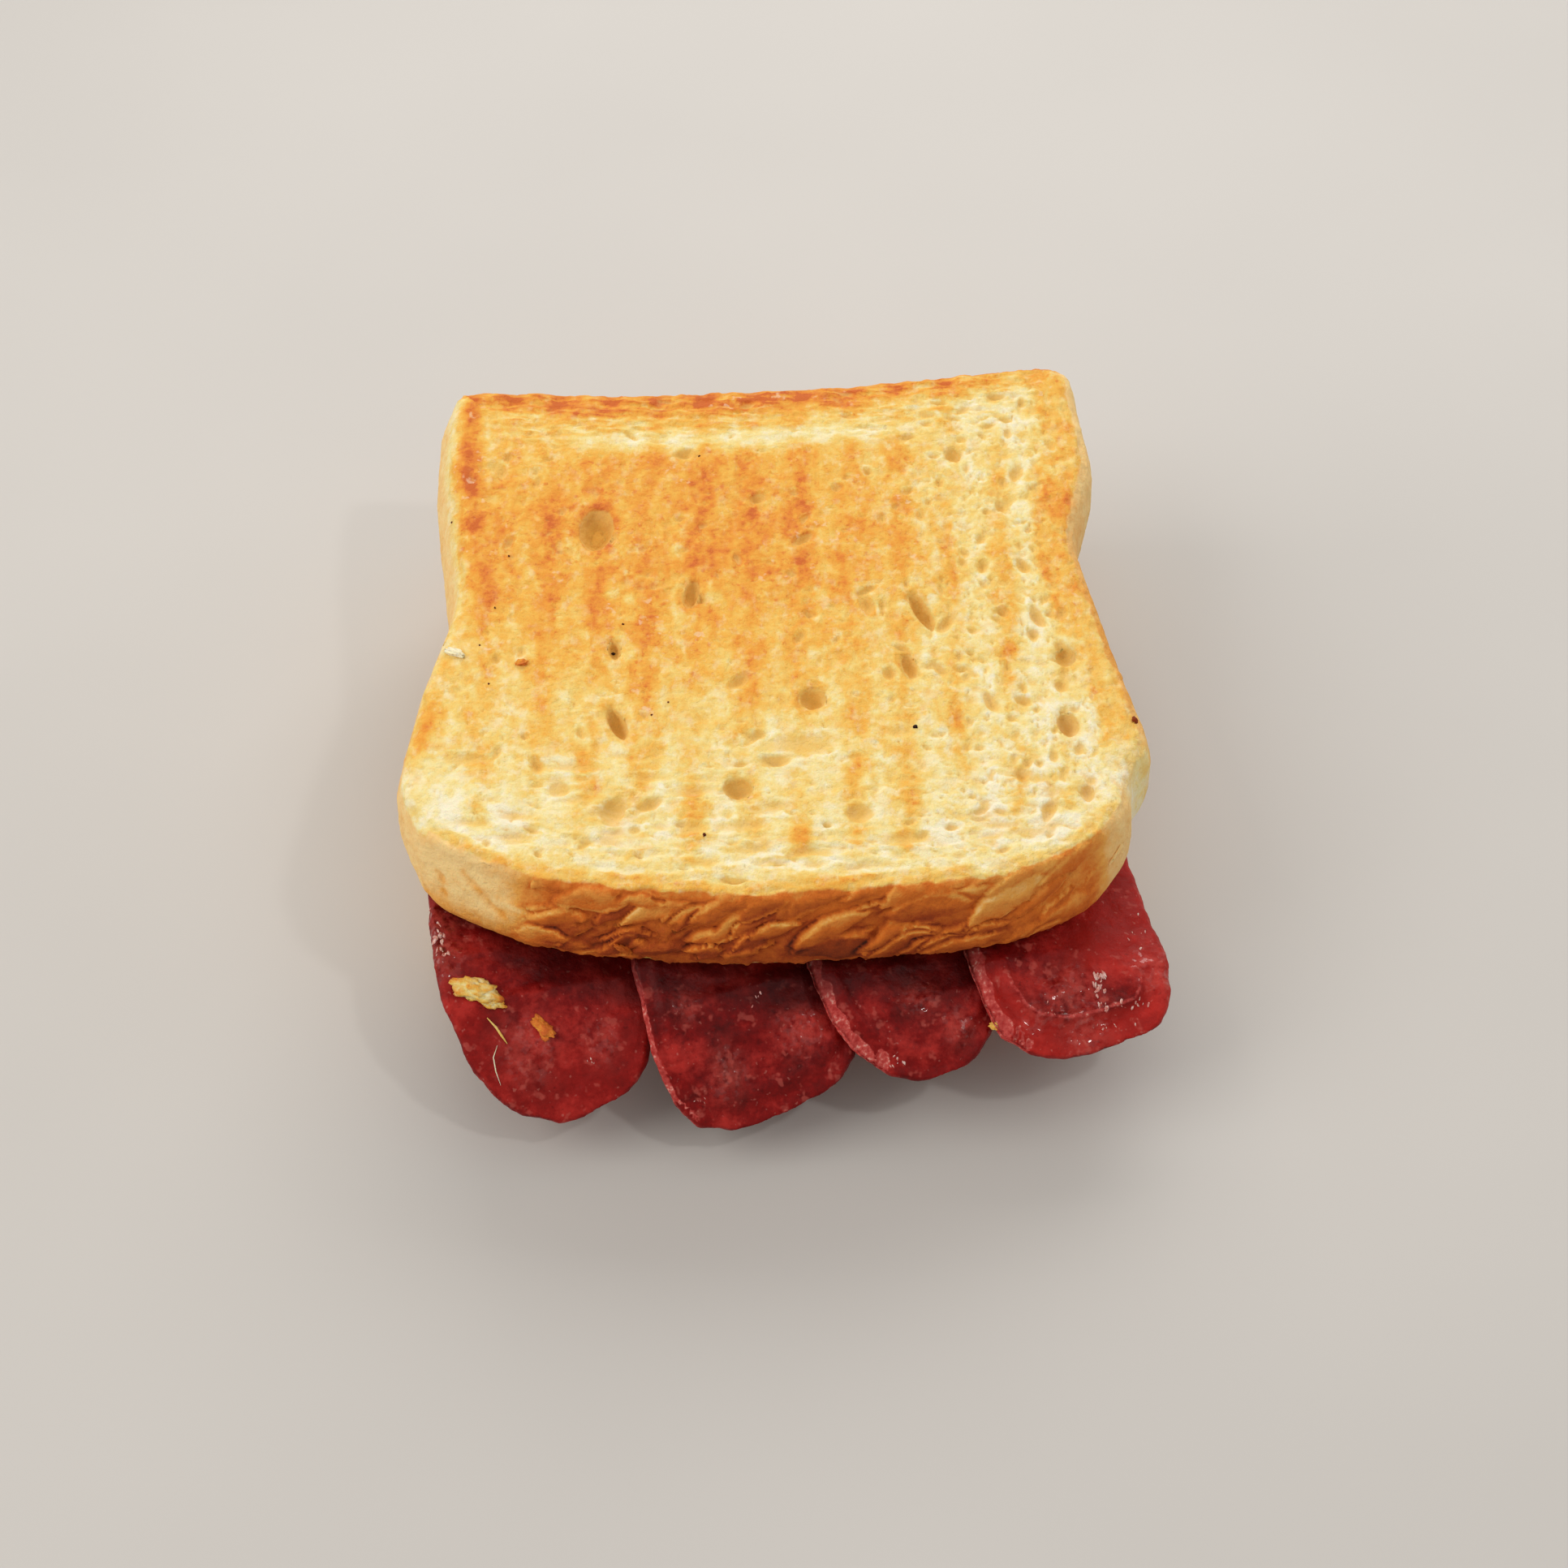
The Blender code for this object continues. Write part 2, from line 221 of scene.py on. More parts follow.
# ---- bottom slice of bread ---------------------------------------------------------------
# A slice of white tin loaf, toasted in a ribbed press: open crumb on its cut faces, pierced by
# pores that lie along the crust, and a thin baked crust round its side that domes at the front.
MM = 0.001
BREAD_GRAIN = 0.44 * MM  # size of the fine faces
BOTTOM_BREAD_FACES = 120000
EDGE_ROUNDING = 1.3 * MM  # of the upper edge, with more at the front, the back and the upper left
FRONT_ROUNDING = 1.7 * MM
BACK_ROUNDING = 1.2 * MM
LEFT_ROUNDING = 2.4 * MM
CRUST_LEFT = -44.0 * MM  # the domed crust is browned and flaky from here
CRUST_RIGHT = 54.0 * MM  # to here
FLAKES_RIGHT = 52.0 * MM  # but it is smooth beyond this
FLAKES = 95
FLAKE_LENGTHS = (3.2 * MM, 8.0 * MM)  # half their length
FLAKE_SHAPE = (0.22, 0.4)  # their height over their length
FLAKE_DEPTH = 1.1 * MM
FLAKE_TILT = math.radians(24.0)
FLAKE_SHADOW_REACH = 1.45  # how far the painted shadow round a flake reaches, where the flake itself reaches 1
HEM_DEPTH = 1.1 * MM  # of the tears along the lower edge of the domed crust
CRUMB_CELLS = ((3.1 * MM, 0.55 * MM), (1.7 * MM, 0.45 * MM))  # spacing and depth of its bubbles
PORE_SHADE_DEPTH = 2.6 * MM  # the painted shade in a pore is at its darkest from this depth on
RIB_PITCH = 8.15 * MM  # from one rib of the press to the next
RIB_START = 3.4 * MM  # where one of them is
RIB_WIDTH = 2.2 * MM
CRUMB_COLOURS = [  # from untoasted to nearly burnt
    (0.0, shade(254, 243, 208)),
    (0.2, shade(250, 230, 160)),
    (0.42, shade(247, 210, 118)),
    (0.62, shade(245, 186, 82)),
    (0.8, shade(240, 159, 58)),
    (0.92, shade(230, 133, 50)),
    (1.0, shade(212, 106, 42)),
]
BURNT_BLISTER = shade(222, 112, 46)
PALE_WISP = shade(255, 246, 206)
WHITE_FLUFF = shade(255, 249, 222)
# pinkish white for the painted glints on the crumb
PAINTED_GLINT = shade(254, 220, 180)
# tans for the painted shade in the pores, on their sides and on their floors
PORE_SIDE_SHADE = shade(240, 196, 108)
PORE_FLOOR_SHADE = shade(212, 146, 42)
CRUST_COLOURS = [  # from barely baked to charred
    (0.0, shade(255, 217, 148)),
    (0.22, shade(242, 171, 80)),
    (0.42, shade(220, 116, 38)),
    (0.66, shade(162, 67, 20)),
    (0.88, shade(92, 34, 11)),
    (1.0, shade(44, 22, 12)),
]


def soft_step(low, high, value):
    """0 up to low, 1 from high on, and a smooth rise in between."""
    part = np.clip((value - low) / (high - low), 0.0, 1.0)
    return part * part * (3.0 - 2.0 * part)


def fade(low, high, value):
    """1 up to low, 0 from high on."""
    return 1.0 - soft_step(low, high, value)


def bell(value, width):
    """1 where the value is 0, and fading out over about one width on both sides."""
    return np.exp(-((value / width) ** 2))


def wander(points, size, seed=0.0, octaves=2):
    """Smooth random numbers, mostly from -1 to 1, that change over about one size."""
    spots = points / size + seed * 13.7
    return np.array([noise.fractal(Vector(spot), 1.0, 2.0, octaves) for spot in spots])


def scattered(across, along, seed):
    """How far every point lies from the nearest of the middles strewn one to a unit square."""
    spots = np.stack([across, along], axis=1)
    corner = np.floor(spots)
    nearest = np.full(len(spots), 9.0)  # a cell's middle is read off sines that run too fast to follow
    for step_across in (-1.0, 0.0, 1.0):
        for step_along in (-1.0, 0.0, 1.0):
            cell = corner + (step_across, step_along)
            phase = np.stack([cell @ (127.1, 311.7), cell @ (269.5, 183.3)], axis=1) + seed
            gap = spots - cell - (np.sin(phase) * 43758.5453) % 1.0
            nearest = np.minimum(nearest, np.hypot(gap[:, 0], gap[:, 1]))
    return nearest


def read(layer, field, width=3):
    """One field of a mesh layer as an array, a row for each point."""
    flat = np.empty(len(layer) * width)
    layer.foreach_get(field, flat)
    return flat.reshape(-1, width)


def bake_in(piece):
    """Replace the piece's mesh by what its modifiers make of it."""
    seen = piece.evaluated_get(bpy.context.evaluated_depsgraph_get())
    mesh = bpy.data.meshes.new_from_object(seen)
    piece.modifiers.clear()
    piece.data = mesh


def fine_copy(node, name, grain_size, rounds):
    """The solid of a node again, as a new piece of fine even faces with its edges softened."""
    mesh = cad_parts[node].data.copy()
    piece = bpy.data.objects.new(name, mesh)
    bpy.context.collection.objects.link(piece)
    remesh = piece.modifiers.new("fine faces", "REMESH")
    remesh.mode = "VOXEL"
    remesh.voxel_size = grain_size
    soften = piece.modifiers.new("soften", "SMOOTH")
    soften.factor = 0.5
    soften.iterations = rounds
    bake_in(piece)
    return piece


def rim_of(place, rim):
    """A look-up, seen from above, of the points that make up a piece's side."""
    tree = KDTree(len(rim))
    for number in rim:
        x, y, _ = place[number]
        tree.insert((x, y, 0.0), int(number))
    tree.balance()
    return tree


def from_rim(tree, place, facing):
    """How far in from the side every point lies, seen from above, and which way out is."""
    found = [tree.find((x, y, 0.0))[1:] for x, y, _ in place]
    inward = np.array([distance for _, distance in found])
    outward = facing[[number for number, _ in found], :2]
    return inward, outward / np.linalg.norm(outward, axis=1)[:, None]


def reshape(piece, places):
    """Move the points of a piece to new places."""
    piece.data.vertices.foreach_set("co", places.astype(np.float32).ravel())
    piece.data.update()


def mark(piece, **fields):
    """Keep values on the points of a piece, for its material."""
    for name, values in fields.items():
        kept = piece.data.attributes.new(name, "FLOAT", "POINT")
        kept.data.foreach_set("value", values.astype(np.float32))


def thin_out(piece, faces):
    """Merge faces where the surface is plain until only so many triangles are left."""
    there = sum(len(face.vertices) - 2 for face in piece.data.polygons)
    if there > faces:
        thinner = piece.modifiers.new("fewer faces", "DECIMATE")
        thinner.ratio = faces / there
        bake_in(piece)
    piece.data.shade_smooth()


def dress(piece, material, node=None):
    """Give a piece its material and, where it is a solid's looks, let it stand for the solid."""
    piece.data.materials.clear()
    piece.data.materials.append(material)
    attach(piece, "root")
    if node:
        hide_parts(node)


class Slice:
    """A slice of bread: its fine mesh and what is known of every point of it."""

    def __init__(self, node, name):
        self.node = node
        self.piece = fine_copy(node, name, BREAD_GRAIN, 3)
        self.low, self.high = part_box(node)
        self.place = read(self.piece.data.vertices, "co")
        self.facing = read(self.piece.data.vertex_normals, "vector")
        self.rise = (self.place[:, 2] - self.low.z) / (self.high.z - self.low.z)
        rim = np.nonzero((np.abs(self.facing[:, 2]) < 0.3) & (self.rise < 0.75))[0]
        self.rim = rim_of(self.place, rim)
        self.inward, self.outward = from_rim(self.rim, self.place, self.facing)
        # from 0 to 1: how far each point belongs to the front, the back, the left and the right
        self.front = soft_step(0.4, 0.8, -self.outward[:, 1])
        self.back = soft_step(0.6, 0.9, self.outward[:, 1])
        self.left = soft_step(0.5, 0.9, -self.outward[:, 0])
        self.right = soft_step(0.5, 0.9, self.outward[:, 0])
        self.round_edge()
        # and to the crusty side, and there to the part that is browned and flaky
        outer = fade(4.0 * MM, 6.0 * MM, self.inward)
        steep = fade(0.78, 0.97, np.abs(self.facing[:, 2]))
        upright = fade(0.2, 0.7, np.abs(self.facing[:, 2]))
        self.wall = outer * (steep + self.left * (upright - steep))
        x = self.place[:, 0]
        self.browned = self.front * soft_step(CRUST_LEFT, CRUST_LEFT + 11.0 * MM, x)
        self.browned *= fade(CRUST_RIGHT - 8.0 * MM, CRUST_RIGHT, x)
        self.browned *= 1.0 - 0.3 * soft_step(20.0 * MM, 40.0 * MM, x)
        self.lift = np.zeros(len(self.place))  # relief, along the way each point faces
        self.sink = np.zeros(len(self.place))  # depth of the pores, straight down
        self.toast = np.zeros(len(self.place))  # how toasted the crumb is
        self.scorch = np.zeros(len(self.place))  # how browned the crust is
        self.openness = np.zeros(len(self.place))  # how many bubbles the crumb has
        self.crease_shadow = np.zeros(len(self.place))  # painted shadow round the border of a flake of crust
        self.ridge = np.zeros(len(self.place))  # a painted highlight on its raised rim
        self.tone = np.zeros(len(self.place))  # how dark it is: a random tint, with painted light on a flake's upper side and painted shade on its lower side
        self.sway = np.zeros((len(self.place), 2))  # sideways, to make the pores uneven

    def round_edge(self):
        """Round the upper edge off, most of all over the domed crust."""
        upper_left = self.left * soft_step(-25.0 * MM, -5.0 * MM, self.place[:, 1])
        radius = EDGE_ROUNDING + FRONT_ROUNDING * self.front + BACK_ROUNDING * self.back
        radius += LEFT_ROUNDING * upper_left
        across = np.clip(radius - self.inward, 0.0, None)
        upper = np.clip(radius - (self.high.z - self.place[:, 2]), 0.0, None)
        pull = 1.0 - radius / np.maximum(np.hypot(across, upper), radius)
        self.place[:, :2] -= self.outward * (across * pull)[:, None]
        self.place[:, 2] -= upper * pull
        reshape(self.piece, self.place)
        self.facing = read(self.piece.data.vertex_normals, "vector")

    def bore(self, x, y, half_width, half_length, turn, depth, face, softness=1.0):
        """Sink one oval pore into the points listed in face, with a paler lip round it."""
        across = self.place[face, 0] - x
        along = self.place[face, 1] - y
        reach = 1.5 * max(half_width, half_length)
        near = np.nonzero((np.abs(across) < reach) & (np.abs(along) < reach))[0]
        across, along = across[near], along[near]
        side = across * math.cos(turn) + along * math.sin(turn)
        run = -across * math.sin(turn) + along * math.cos(turn)
        spread = np.sqrt((side / half_width) ** 2 + (run / half_length) ** 2)
        where = face[near]
        bowl = depth * np.clip(1.0 - spread**2, 0.0, 1.0) ** softness
        self.sink[where] = np.maximum(self.sink[where], bowl)
        self.toast[where] -= 0.12 * bell(spread - 1.25, 0.22)

    def grow_crumb(self, face, seed):
        """Small bubbles and uneven crumb, pressed into flat layers beside the crust."""
        spots = self.place[face]
        inward = self.inward[face]
        flat = spots * 0.0  # stretched out along the crust, so that noise on it runs in layers
        flat[:, 0] = spots[:, 0] / 5.0
        flat[:, 1] = inward / 0.8
        beside = soft_step(1.0 * MM, 3.0 * MM, inward)
        beside *= fade(9.0 * MM, 20.0 * MM, inward)
        layered = np.clip(self.front[face] * beside + self.back[face] * beside, 0.0, 1.0)
        upright = spots * (1.0, 0.42, 1.0)
        strands = (1.0 - layered) * wander(upright, 2.0 * MM, seed, 3)
        strands += layered * wander(flat, 1.0 * MM, seed + 1.0, 3)
        broad = wander(spots, 9.0 * MM, seed + 2.0)
        bend = 0.35 * wander(spots, 4.0 * MM, seed + 3.0, 3)
        open_here = soft_step(-0.3, 0.4, wander(spots, 6.0 * MM, seed + 4.0) + self.openness[face])
        wide = np.where(layered > 0.5, 2.0, 1.0)
        long = np.where(layered > 0.5, 0.7, 1.5)
        for cell, depth in CRUMB_CELLS:
            shift = bend * CRUMB_CELLS[0][0] / cell
            across = spots[:, 0] / (cell * wide) + shift
            along = spots[:, 1] / (cell * long) - shift
            nearest = scattered(across, along, seed + cell / MM)
            bubbles = depth * open_here * np.clip(1.0 - nearest / 0.42, 0.0, 1.0) ** 1.5
            self.sink[face] = np.maximum(self.sink[face], bubbles)
            self.toast[face] -= 0.12 * open_here * soft_step(0.4, 0.8, nearest)
        relief = 0.16 * MM * strands + 0.2 * MM * broad + 0.2 * MM * layered * strands
        self.lift[face] += relief * soft_step(0.2 * MM, 2.0 * MM, inward)
        sway = [wander(spots, 2.4 * MM, seed + 5.0), wander(spots, 2.4 * MM, seed + 6.0)]
        self.sway[face] = 0.4 * MM * np.stack(sway, axis=1)
        self.toast[face] += 0.03 + (0.3 * layered - 0.14) * strands + 0.08 * broad
        streaks = wander(flat, 0.7 * MM, seed + 7.0, 3)
        self.toast[face] += 0.24 * self.back[face] * beside * streaks

    def grow_crust(self, seed):
        """Thin lens-shaped flakes over the domed crust, each one over parts of the last."""
        x, level = self.place[:, 0], self.place[:, 2] - self.low.z
        bend = 0.7 * MM * wander(self.place, 4.0 * MM, seed, 3)
        sway = 0.7 * MM * wander(self.place, 4.0 * MM, seed + 2.0, 3)
        chance = np.random.default_rng(int(seed))
        height = np.zeros(len(x))
        crusty = np.nonzero((self.browned * self.wall) > 0.01)[0]
        for _ in range(FLAKES):
            half_length = chance.uniform(*FLAKE_LENGTHS)
            half_height = half_length * chance.uniform(*FLAKE_SHAPE)
            turn = FLAKE_TILT + chance.normal(0.0, 0.25)
            across = x[crusty] - chance.uniform(CRUST_LEFT, CRUST_RIGHT) + bend[crusty]
            up = level[crusty] - chance.uniform(0.0, self.high.z - self.low.z) + sway[crusty]
            run = (across * math.cos(turn) + up * math.sin(turn)) / half_length
            lean = (up * math.cos(turn) - across * math.sin(turn)) / half_height + 0.4 * run**2
            spread = np.abs(lean) + run**2
            within = spread < 1.0
            near = (spread >= 1.0) & (spread < FLAKE_SHADOW_REACH)
            inside, beside = crusty[within], crusty[near]
            plate = fade(0.7, 1.0, spread[within])
            own = chance.uniform(0.4, 0.9) + 0.35 * lean[within]
            height[inside] += plate * (own - height[inside])
            # each flake's own random tint, with painted light on its upper side and painted shade on
            # its lower side
            tone = chance.uniform(-1.0, 1.0) - 0.8 * lean[within]
            self.tone[inside] += plate * (tone - self.tone[inside])
            self.crease_shadow[inside] *= 1.0 - plate
            # painted shadow that the flake casts round its border, weaker on one side
            side = chance.choice((-1.0, 1.0))
            fading = 1.0 - 0.7 * soft_step(-0.4, 0.4, side * lean[near])
            fading *= (FLAKE_SHADOW_REACH - spread[near]) / (FLAKE_SHADOW_REACH - 1.0)
            self.crease_shadow[beside] = np.maximum(self.crease_shadow[beside], fading)
            # a painted highlight along the crest of its rim
            crest = bell(spread[within] - 0.8, 0.12) * soft_step(-0.1, 0.4, -side * lean[within])
            self.ridge[inside] = np.maximum(self.ridge[inside] * (1.0 - plate), crest)
        ends = np.sin(np.pi * np.clip(self.rise, 0.04, 0.96)) ** 0.5
        flaky = self.browned * ends * self.wall
        flaky *= fade(FLAKES_RIGHT - 10.0 * MM, FLAKES_RIGHT, x)
        self.lift += flaky * FLAKE_DEPTH * (height - 0.5 - 0.35 * self.crease_shadow)
        self.lift += self.wall * 0.14 * MM * wander(self.place, 2.2 * MM, seed + 4.0, 3)
        patchy = soft_step(-0.3, 0.3, wander(self.place, 5.0 * MM, seed + 6.0))
        self.crease_shadow *= flaky * (0.25 + 0.75 * patchy)
        self.ridge *= flaky
        self.tone *= flaky
        hem = self.browned * fade(0.0, 0.12, self.rise) * soft_step(0.2, 0.6, self.wall)
        torn = np.clip(wander(self.place * (1.0, 1.0, 0.2), 1.5 * MM, seed + 9.0), 0.0, 1.0)
        self.sink += HEM_DEPTH * hem * torn
        self.lift += 0.5 * MM * hem * wander(self.place * (1.0, 1.0, 0.4), 1.3 * MM, seed + 8.0)

    def ribs(self):
        """How near each point is to a rib of the toasting press."""
        off = (self.place[:, 0] - RIB_START + 0.5 * RIB_PITCH) % RIB_PITCH - 0.5 * RIB_PITCH
        return bell(off, RIB_WIDTH)

    def patch(self, x, y, radius, wide, long):
        """1 in the middle of a soft oval patch, given in mm, and fading out over its radius."""
        across = (self.place[:, 0] - x * MM) / wide
        along = (self.place[:, 1] - y * MM) / long
        return bell(np.hypot(across, along), radius * MM)

    def finish(self, material, faces):
        """Work the relief in and hand the piece over."""
        places = self.place + self.facing * self.lift[:, None]
        places[:, 2] -= self.sink
        places[:, :2] += self.sway
        places[:, 2] = np.maximum(places[:, 2], 0.0)  # the underside stays flat
        reshape(self.piece, places)
        inner = (self.inward > 5.0 * MM) & (self.rise > 0.5)  # here lie the solid's own pores
        cut_in = np.where(inner, self.high.z - self.place[:, 2], 0.0)
        # painted shade in the pores, from how deep each point lies below the face
        hollow = np.clip(np.maximum(self.sink, cut_in) / PORE_SHADE_DEPTH, 0.0, 1.0)
        mark(self.piece, toast=self.toast, scorch=self.scorch, hollow=hollow, crust=self.wall)
        thin_out(self.piece, faces)
        dress(self.piece, material, self.node)


def bread_finish():
    """Crumb from cream to orange by how toasted it is, with painted shade in its pores and painted
    glints, and crust from tan to dark brown.
    """
    bread = Finish(
        "toasted_bread",
        Specular_IOR_Level=0.3,
        Subsurface_Weight=0.12,
        Subsurface_Radius=(1.0, 0.55, 0.25),
        Subsurface_Scale=1.2 * MM,
    )
    place = bread.place()
    patches = bread.mottle(place, 3.2 * MM, 2.0) - 0.5
    fuzz = bread.mottle(place, 1.2 * MM, 4.0, 0.68) - 0.5
    browning = bread.attribute("toast")
    toast = browning + 0.42 * patches + 0.54 * fuzz
    crumb = bread.ramp(toast, CRUMB_COLOURS)
    blister = bread.mottle(place, 1.3 * MM, 3.0, 0.6)
    burnt = blister.between(0.58, 0.66) * toast.between(0.55, 0.75)
    crumb = bread.mix(0.5 * burnt, crumb, BURNT_BLISTER)
    wisps = bread.mottle(bread.place((1.0, 0.7, 1.0)), 1.6 * MM, 3.0, 0.6).between(0.5, 0.7)
    crumb = bread.mix(0.3 * wisps * (1.0 - browning.between(0.55, 0.9)), crumb, PALE_WISP)
    fluff = bread.mottle(place, 3.4 * MM, 4.0, 0.6).between(0.5, 0.62)
    crumb = bread.mix(0.38 * fluff * (1.0 - browning.between(0.3, 0.6)), crumb, WHITE_FLUFF)
    # painted glints: pinkish white flecks in clusters on the golden crumb, which is also made glossier
    # there
    clusters = bread.mottle(place, 11.0 * MM, 1.0)
    glint = bread.mottle(place, 1.8 * MM, 2.0, 0.5)
    gloss_and_glints = glint.between(0.63, 0.72) * clusters.between(0.5, 0.58) * browning.between(0.5, 0.65)
    crumb = bread.mix(0.45 * gloss_and_glints, crumb, PAINTED_GLINT)
    # painted shade in the pores: tan on their sides, a darker tan on the floor of the deep ones
    hollow = bread.attribute("hollow")
    crumb = bread.mix(0.75 * hollow.between(0.02, 0.22), crumb, PORE_SIDE_SHADE)
    crumb = bread.mix(0.8 * hollow.between(0.2, 1.0), crumb, PORE_FLOOR_SHADE)
    scorch = bread.attribute("scorch") + 0.25 * patches + 0.25 * fuzz
    crust = bread.ramp(scorch, CRUST_COLOURS)
    edge = (bread.attribute("crust") + 0.4 * patches + 0.3 * fuzz).between(0.1, 0.85)
    return bread.paint(
        Base_Color=bread.mix(edge, crumb, crust),
        Roughness=0.82 - 0.15 * toast.between(0.5, 1.0) - 0.35 * gloss_and_glints,
        Normal=bread.bump(fuzz, 0.5 * MM),
    )


bread_material = bread_finish()

bottom = Slice("bread_bottom", "bottom_bread")
bottom.grow_crust(5.0)
# painted shadow between the crust's flakes, as on the top slice
bottom.scorch = 0.15 + 0.35 * bottom.browned + 0.12 * bottom.back + 0.3 * bottom.crease_shadow
bottom.toast = 0.45 + 0.25 * bottom.ribs()
bottom.finish(bread_material, BOTTOM_BREAD_FACES)

# ---- melted cheese -----------------------------------------------------------------------
# Yellow cheese that melted between the slices: it wells up round the sausage, hangs out a
# little at the sides, and has gone glossy and brown where it met the hot press.
CHEESE_GRAIN = 0.6 * MM
CHEESE_FACES = 90000
CHEESE_SAG = 0.6 * MM
CHEESE_BULGE = 0.15 * MM  # no more than this, to stay clear of the bread
CHEESE_COLOURS = [(0.3, shade(255, 214, 112)), (0.55, shade(250, 192, 80)), (0.75, shade(226, 150, 58))]

cheese = fine_copy("cheese", "melted_cheese", CHEESE_GRAIN, 4)
cheese_place = read(cheese.data.vertices, "co")
cheese_facing = read(cheese.data.vertex_normals, "vector")
sag = CHEESE_SAG * wander(cheese_place * (1.0, 1.0, 0.3), 6.0 * MM, 7.0)
sag += 0.12 * MM * wander(cheese_place, 1.6 * MM, 8.0)
reshape(cheese, cheese_place + cheese_facing * np.minimum(sag, CHEESE_BULGE)[:, None])
thin_out(cheese, CHEESE_FACES)

melt = Finish(
    "melted_cheese",
    Specular_IOR_Level=0.5,
    Subsurface_Weight=0.25,
    Subsurface_Radius=(1.0, 0.6, 0.2),
    Subsurface_Scale=2.0 * MM,
)
blotches = melt.mottle(melt.place(), 4.5 * MM, 3.0)
speckle = melt.mottle(melt.place(), 1.1 * MM, 2.0)
melt.paint(
    Base_Color=melt.ramp(blotches + 0.4 * (speckle - 0.5), CHEESE_COLOURS),
    Roughness=0.2 + 0.3 * speckle,
    Normal=melt.bump(speckle, 0.15 * MM),
)
dress(cheese, melt.material, "cheese")

# ---- top slice of bread ------------------------------------------------------------------
# The slice that shows: toasted golden at the back and left, pale at the right and front, with
# stripes from the press, open pores, and the flaky brown dome of the loaf at the front.
TOP_BREAD_FACES = 195000
PORES = (
    # shallow pores: x, y, half width, half length in mm, turn in degrees, depth in mm
    (44.1, -17.0, 1.3, 1.7, 0.0, 1.2),
    (-33.5, -38.0, 2.2, 1.7, 0.0, 0.9),
    (12.1, -42.7, 2.4, 1.8, 0.0, 1.3),
    (-6.7, -55.8, 0.7, 2.8, 90.0, 1.2),
    (3.1, -29.1, 2.5, 6.9, 90.0, 0.6),
)
CRACKS = (
    # short cracks in the pale left end of the crust: places in mm
    (
        (-47.5, -51.3, 36.6),
        (-46.0, -52.3, 35.5),
        (-44.7, -53.4, 34.2),
        (-43.3, -54.6, 32.8),
        (-41.6, -55.6, 32.2),
    ),
    ((-51.6, -49.6, 34.7), (-51.0, -50.1, 34.1), (-50.6, -50.5, 33.2)),
    ((-50.9, -50.9, 32.0), (-50.5, -51.2, 31.4)),
)
DEEP_PORES = (
    # the openings of the largest pores: x, y, half width and half length in mm, turn in degrees
    (-30.0, 17.6, 2.9, 5.0, -4.0),
    (-14.2, 2.9, 1.3, 3.3, -10.0),
    (-26.1, -9.3, 1.1, 2.2, 10.0),
    (-25.1, -24.7, 1.4, 3.8, 22.0),
    (22.7, -0.7, 1.4, 4.8, 22.0),
    (20.4, -12.5, 1.3, 2.9, 12.0),
    (5.2, -19.6, 2.3, 2.4, -20.0),
    (44.6, -24.9, 1.8, 2.7, 10.0),
    (45.1, -10.7, 1.8, 2.3, -12.0),
    (29.0, 35.4, 1.5, 2.0, 30.0),
    (-6.2, -37.9, 2.5, 2.3, 0.0),
    (-25.0, -42.2, 3.0, 2.0, 60.0),
    (46.7, -38.5, 1.4, 1.8, 0.0),
)
PORE_LIP = 0.9 * MM  # the hollow round such an opening is wider by this
PORE_SIZES = ((1.3, 45), (0.8, 240), (0.45, 700))  # of the small pores: half width in mm, how many
FLAT_PORES = 80  # pores pressed flat beside the domed crust
# soft places on the toasted face: x, y and radius in mm, and how they are stretched along x and y
GOLDEN_MIDDLE = (-17.0, 16.0, 33.0, 1.5, 1.0)
RIGHT_PATCH = (47.5, 22.0, 3.6, 1.0, 1.8)
RIGHT_LIP = (53.0, -42.0, 3.6, 1.0, 1.0)
TORN_RIGHT = (57.0, -34.0, 7.0, 1.0, 1.0)
TORN_LEFT = (-46.0, -41.0, 9.0, 1.0, 0.625)

top = Slice("bread_top", "top_bread")
x, y = top.place[:, 0], top.place[:, 1]
face = np.nonzero((top.facing[:, 2] > 0.6) & (top.rise > 0.85))[0]
open_right = soft_step(14.0 * MM, 38.0 * MM, x)
open_front = fade(-48.0 * MM, -20.0 * MM, y)
dense = top.front * fade(4.0 * MM, 9.0 * MM, top.inward)
top.openness = -0.2 + 0.5 * open_right + 0.3 * open_front - 0.3 * dense
torn_right = top.patch(*TORN_RIGHT)
top.wall *= 1.0 - 0.9 * torn_right
top.grow_crust(1.0)
top.grow_crumb(face, 1.0)
for px, py, half_width, half_length, turn, depth in PORES:
    top.bore(px * MM, py * MM, half_width * MM, half_length * MM, math.radians(turn), depth * MM, face)

# the cracks in the crust, each a shallow groove with painted shade in it
uneven = wander(top.place, 1.5 * MM, 41.0)
for course in CRACKS:
    for start, end in zip(course, course[1:]):
        way = (np.array(end) - np.array(start)) * MM
        reach = top.place - np.array(start) * MM
        part = np.clip(reach @ way / (way @ way), 0.0, 1.0)
        apart = np.linalg.norm(reach - part[:, None] * way, axis=1) + 0.3 * MM * uneven
        top.crease_shadow = np.maximum(top.crease_shadow, 0.45 * bell(apart, 0.7 * MM))
        top.lift -= 0.2 * MM * bell(apart, 0.6 * MM)

# the edges of the solid's own deep pores, worn down round their openings
for px, py, half_width, half_length, turn in DEEP_PORES:
    wide, long = half_width * MM + PORE_LIP, half_length * MM + PORE_LIP
    top.bore(px * MM, py * MM, wide, long, math.radians(turn), 0.5 * MM, face, 1.3)

